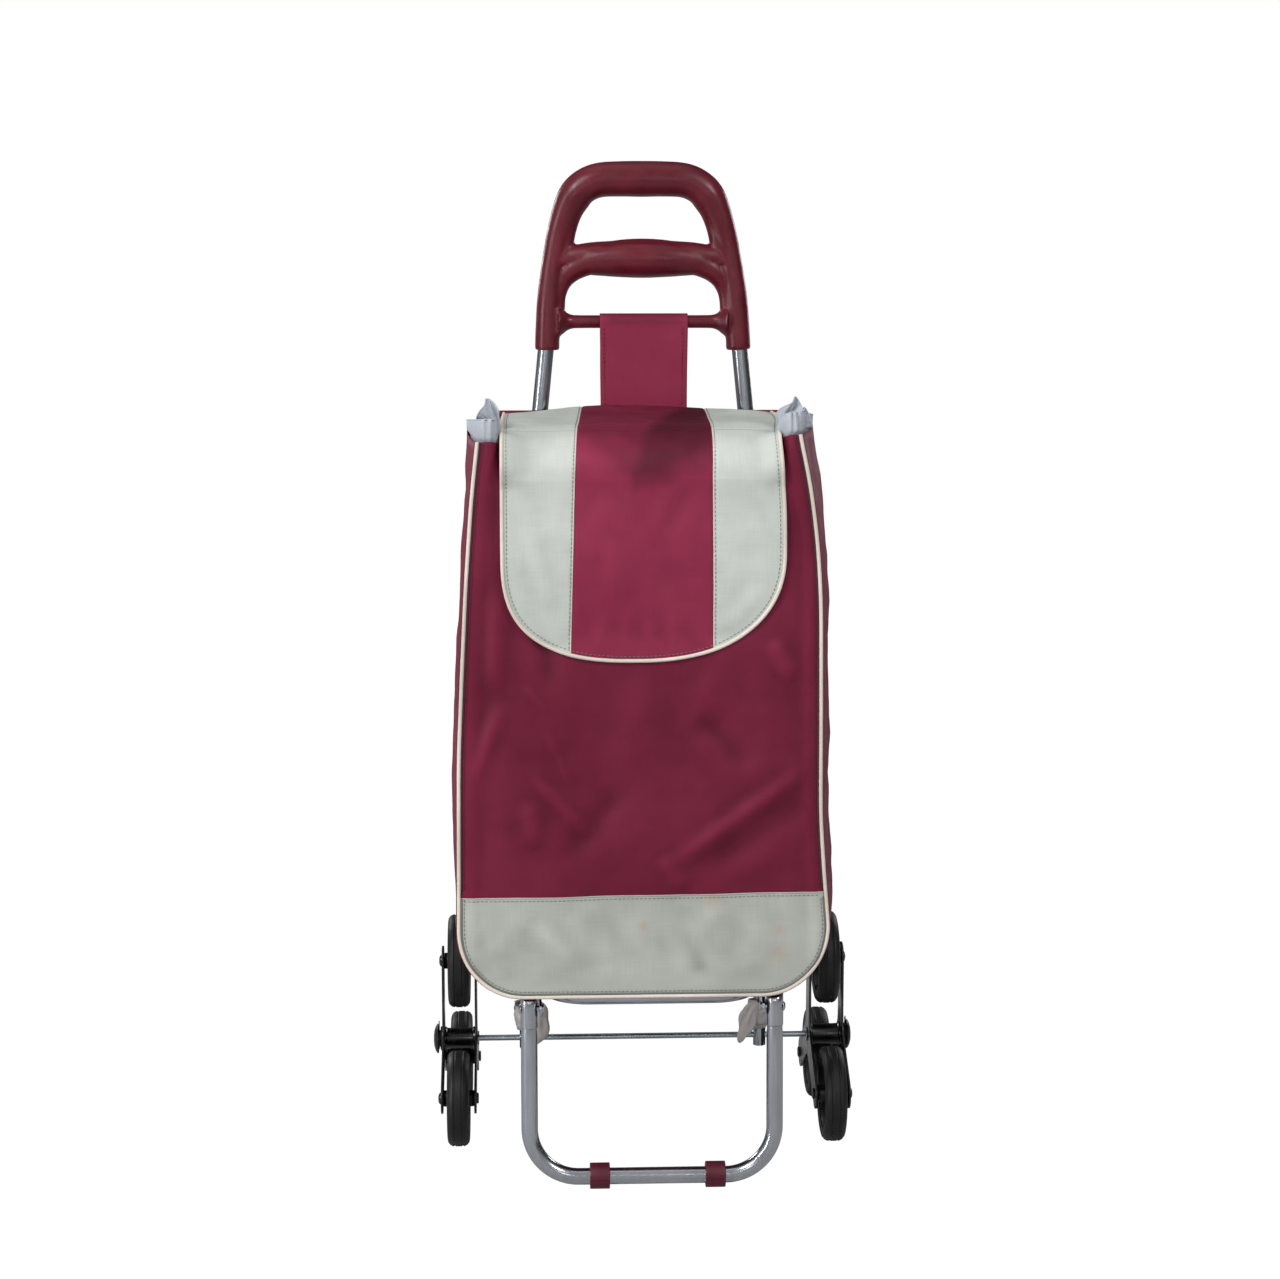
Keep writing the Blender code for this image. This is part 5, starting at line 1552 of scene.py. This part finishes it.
def build_ties():
    """Crumpled strips wound round the posts above the axle, each with a loose tail."""
    turns = 2.6
    for side, sign in SIDES:
        centre = Vector((sign * POST_X, POST_Y, 0))
        rows = []
        for share in np.linspace(0, 1, 150):
            angle = 2 * math.pi * turns * share + 0.6 * sign
            bottom = HUB_Z + 0.006 + 0.012 * share
            row = []
            for level in np.linspace(0, 1, 12):
                swell = 0.0022 * math.sin(math.pi * level) + 0.0018 * wander(angle, level * 2, sign, 0.6, 2.0)
                radius = 0.0082 + 0.0024 * share + swell + 0.0010 * math.sin(3 * angle + 4 * level)
                row.append((centre.x + radius * math.cos(angle), centre.y + radius * math.sin(angle),
                            bottom + 0.021 * level))
            rows.append(row)
        wrap = cloth_sheet(f"tie_wrap_{side}", rows, "tie", 0.0008)
        stand_in(wrap, "root", "tie_cloth", f"tie_{side}")
        build_tail(side, sign, centre)


# the tails' (x from the post, height, half width): a rounded bunch on the left, a drooping leaf on the right
TAILS = {
    "left": ((0.003, 0.131, 0.003), (0.009, 0.125, 0.0085), (0.0115, 0.113, 0.0112),
             (0.0110, 0.101, 0.0105), (0.0070, 0.089, 0.0065), (0.0040, 0.083, 0.001)),
    "right": ((-0.003, 0.128, 0.003), (-0.008, 0.122, 0.0060), (-0.0125, 0.112, 0.0078),
              (-0.0165, 0.100, 0.0065), (-0.0205, 0.090, 0.0036), (-0.0220, 0.085, 0.001)),
}


def build_tail(side, sign, centre):
    """The tie's loose end, a closed crumpled shape."""
    line = smooth_path(TAILS[side], 9)
    rows = []
    for index, ((x, z, width), along) in enumerate(zip(line, headings(line))):
        row = []
        for angle in around(40):
            cosine = math.cos(angle)
            sine = math.sin(angle)
            ridge = math.sin(4 * angle + 0.16 * index) * 0.13 + math.sin(7 * angle - 0.3 * index) * 0.07
            crumple = 0.35 * wander(cosine * 0.01, sine * 0.01, 0.4 * z, 0.0055, 3.0 * sign)
            reach = width * (1 + ridge + crumple)
            out = reach * cosine
            row.append((centre.x + x - along.y * out, centre.y - 0.0135 + 0.55 * reach * sine,
                        z + along.x * out))
        rows.append(row)
    tail = cloth_sheet(f"tie_tail_{side}", rows, "tie", 0.0006, closed=True)
    stand_in(tail, "root", "tie_cloth")


# ---------------------------------------------------------------- light, floor and camera
# name, place, the height it points at, width, height and power in watts
LIGHTS = (
    ("key", (-1.5, -1.9, 2.5), 0.55, 0.8, 1.0, 44),
    ("fill", (1.6, -1.8, 2.2), 0.5, 0.6, 0.9, 27),
    ("left_strip", (-1.9, -1.1, 0.8), 0.5, 0.09, 1.7, 17),
    ("overhead", (0.0, -0.2, 2.6), 0.7, 1.2, 1.2, 2),
    ("rear_left", (-2.0, 2.4, 1.5), 0.5, 0.8, 0.8, 24),
    ("rear_right", (2.0, 2.2, 1.3), 0.5, 0.8, 0.8, 16),
    ("glint_left", (-0.60, -2.6, 1.10), 0.8, 0.25, 0.45, 2.6),
    ("glint_right", (0.50, -2.6, 1.10), 0.8, 0.25, 0.45, 2.0),
)


def add_area_light(name, place, target_z, wide, high, power):
    """A rectangular soft box that points at a height on the Z axis."""
    data = bpy.data.lights.new(name, "AREA")
    data.shape = "RECTANGLE"
    data.size = wide
    data.size_y = high
    data.energy = power
    light = bpy.data.objects.new(name, data)
    light.location = place
    light.rotation_euler = (Vector((0, 0, target_z)) - Vector(place)).to_track_quat("-Z", "Y").to_euler()
    bpy.context.scene.collection.objects.link(light)


def build_world():
    """White for the camera; the light that the object gets is softer, and darker from behind."""
    world = bpy.data.worlds.new("studio")
    world.use_nodes = True
    tree = world.node_tree
    seen = tree.nodes["Background"]
    seen.inputs["Color"].default_value = (1.0, 1.0, 1.0, 1.0)
    room = tree.nodes.new("ShaderNodeBackground")
    direction = tree.nodes.new("ShaderNodeVectorMath")
    direction.operation = "DOT_PRODUCT"
    direction.inputs[1].default_value = (0.55, 1.0, -0.8)
    ramp = tree.nodes.new("ShaderNodeMapRange")
    ramp.interpolation_type = "SMOOTHSTEP"
    tree.links.new(tree.nodes.new("ShaderNodeTexCoord").outputs["Generated"], direction.inputs[0])
    tree.links.new(direction.outputs["Value"], ramp.inputs["Value"])
    limits = (("From Min", -0.95), ("From Max", 0.25), ("To Min", ROOM_FRONT), ("To Max", ROOM_BACK))
    for key, value in limits:
        ramp.inputs[key].default_value = value
    tree.links.new(ramp.outputs["Result"], room.inputs["Strength"])
    choice = tree.nodes.new("ShaderNodeMixShader")
    tree.links.new(tree.nodes.new("ShaderNodeLightPath").outputs["Is Camera Ray"], choice.inputs[0])
    tree.links.new(room.outputs[0], choice.inputs[1])
    tree.links.new(seen.outputs[0], choice.inputs[2])
    tree.links.new(choice.outputs[0], tree.nodes["World Output"].inputs["Surface"])
    bpy.context.scene.world = world


def build_studio():
    """The room, a pale floor and the soft boxes."""
    bpy.context.scene.view_settings.view_transform = "Standard"
    build_world()
    floor = add_mesh("floor", [(-6, -6, 0), (6, -6, 0), (6, 6, 0), (-6, 6, 0)], [(0, 1, 2, 3)], "piping")
    floor.data.materials.clear()
    floor.data.materials.append(floor_paper())
    for light in LIGHTS:
        add_area_light(*light)


def floor_paper():
    """Pale paper that is white to the camera and mid grey to the object."""
    paper = Finish("floor_paper", "BDBDBD", 0.9)
    paper.set(paper.shader, "Specular IOR Level", 0.1)
    glow = paper.add("Emission", Color=(1.0, 1.0, 1.0, 1.0), Strength=1.02)
    choice = paper.add("MixShader")
    paper.set(choice, 0, paper.add("LightPath").outputs["Is Camera Ray"])
    paper.set(choice, 1, paper.shader.outputs[0])
    paper.set(choice, 2, glow.outputs[0])
    paper.set(paper.tree.nodes["Material Output"], "Surface", choice.outputs[0])
    return paper.material


def build_camera():
    """The photo's view: nearly level, slightly from the left."""
    data = bpy.data.cameras.new("camera")
    data.sensor_width = 36
    data.lens = 74.1
    camera = bpy.data.objects.new("camera", data)
    camera.location = (-0.1197, POST_Y - 2.6612, 0.8913)
    camera.rotation_euler = (math.radians(90 - 8.198), 0, math.radians(-2.513))
    bpy.context.scene.collection.objects.link(camera)
    bpy.context.scene.camera = camera


for build in (build_camera, build_studio, build_posts, build_cross_tubes, build_platform, build_foot,
              build_stars, build_axle, build_handle, build_front, build_edge_piping, build_gusset,
              build_back, build_collar, build_ruffles, build_lid, build_strap, build_ties):
    build()
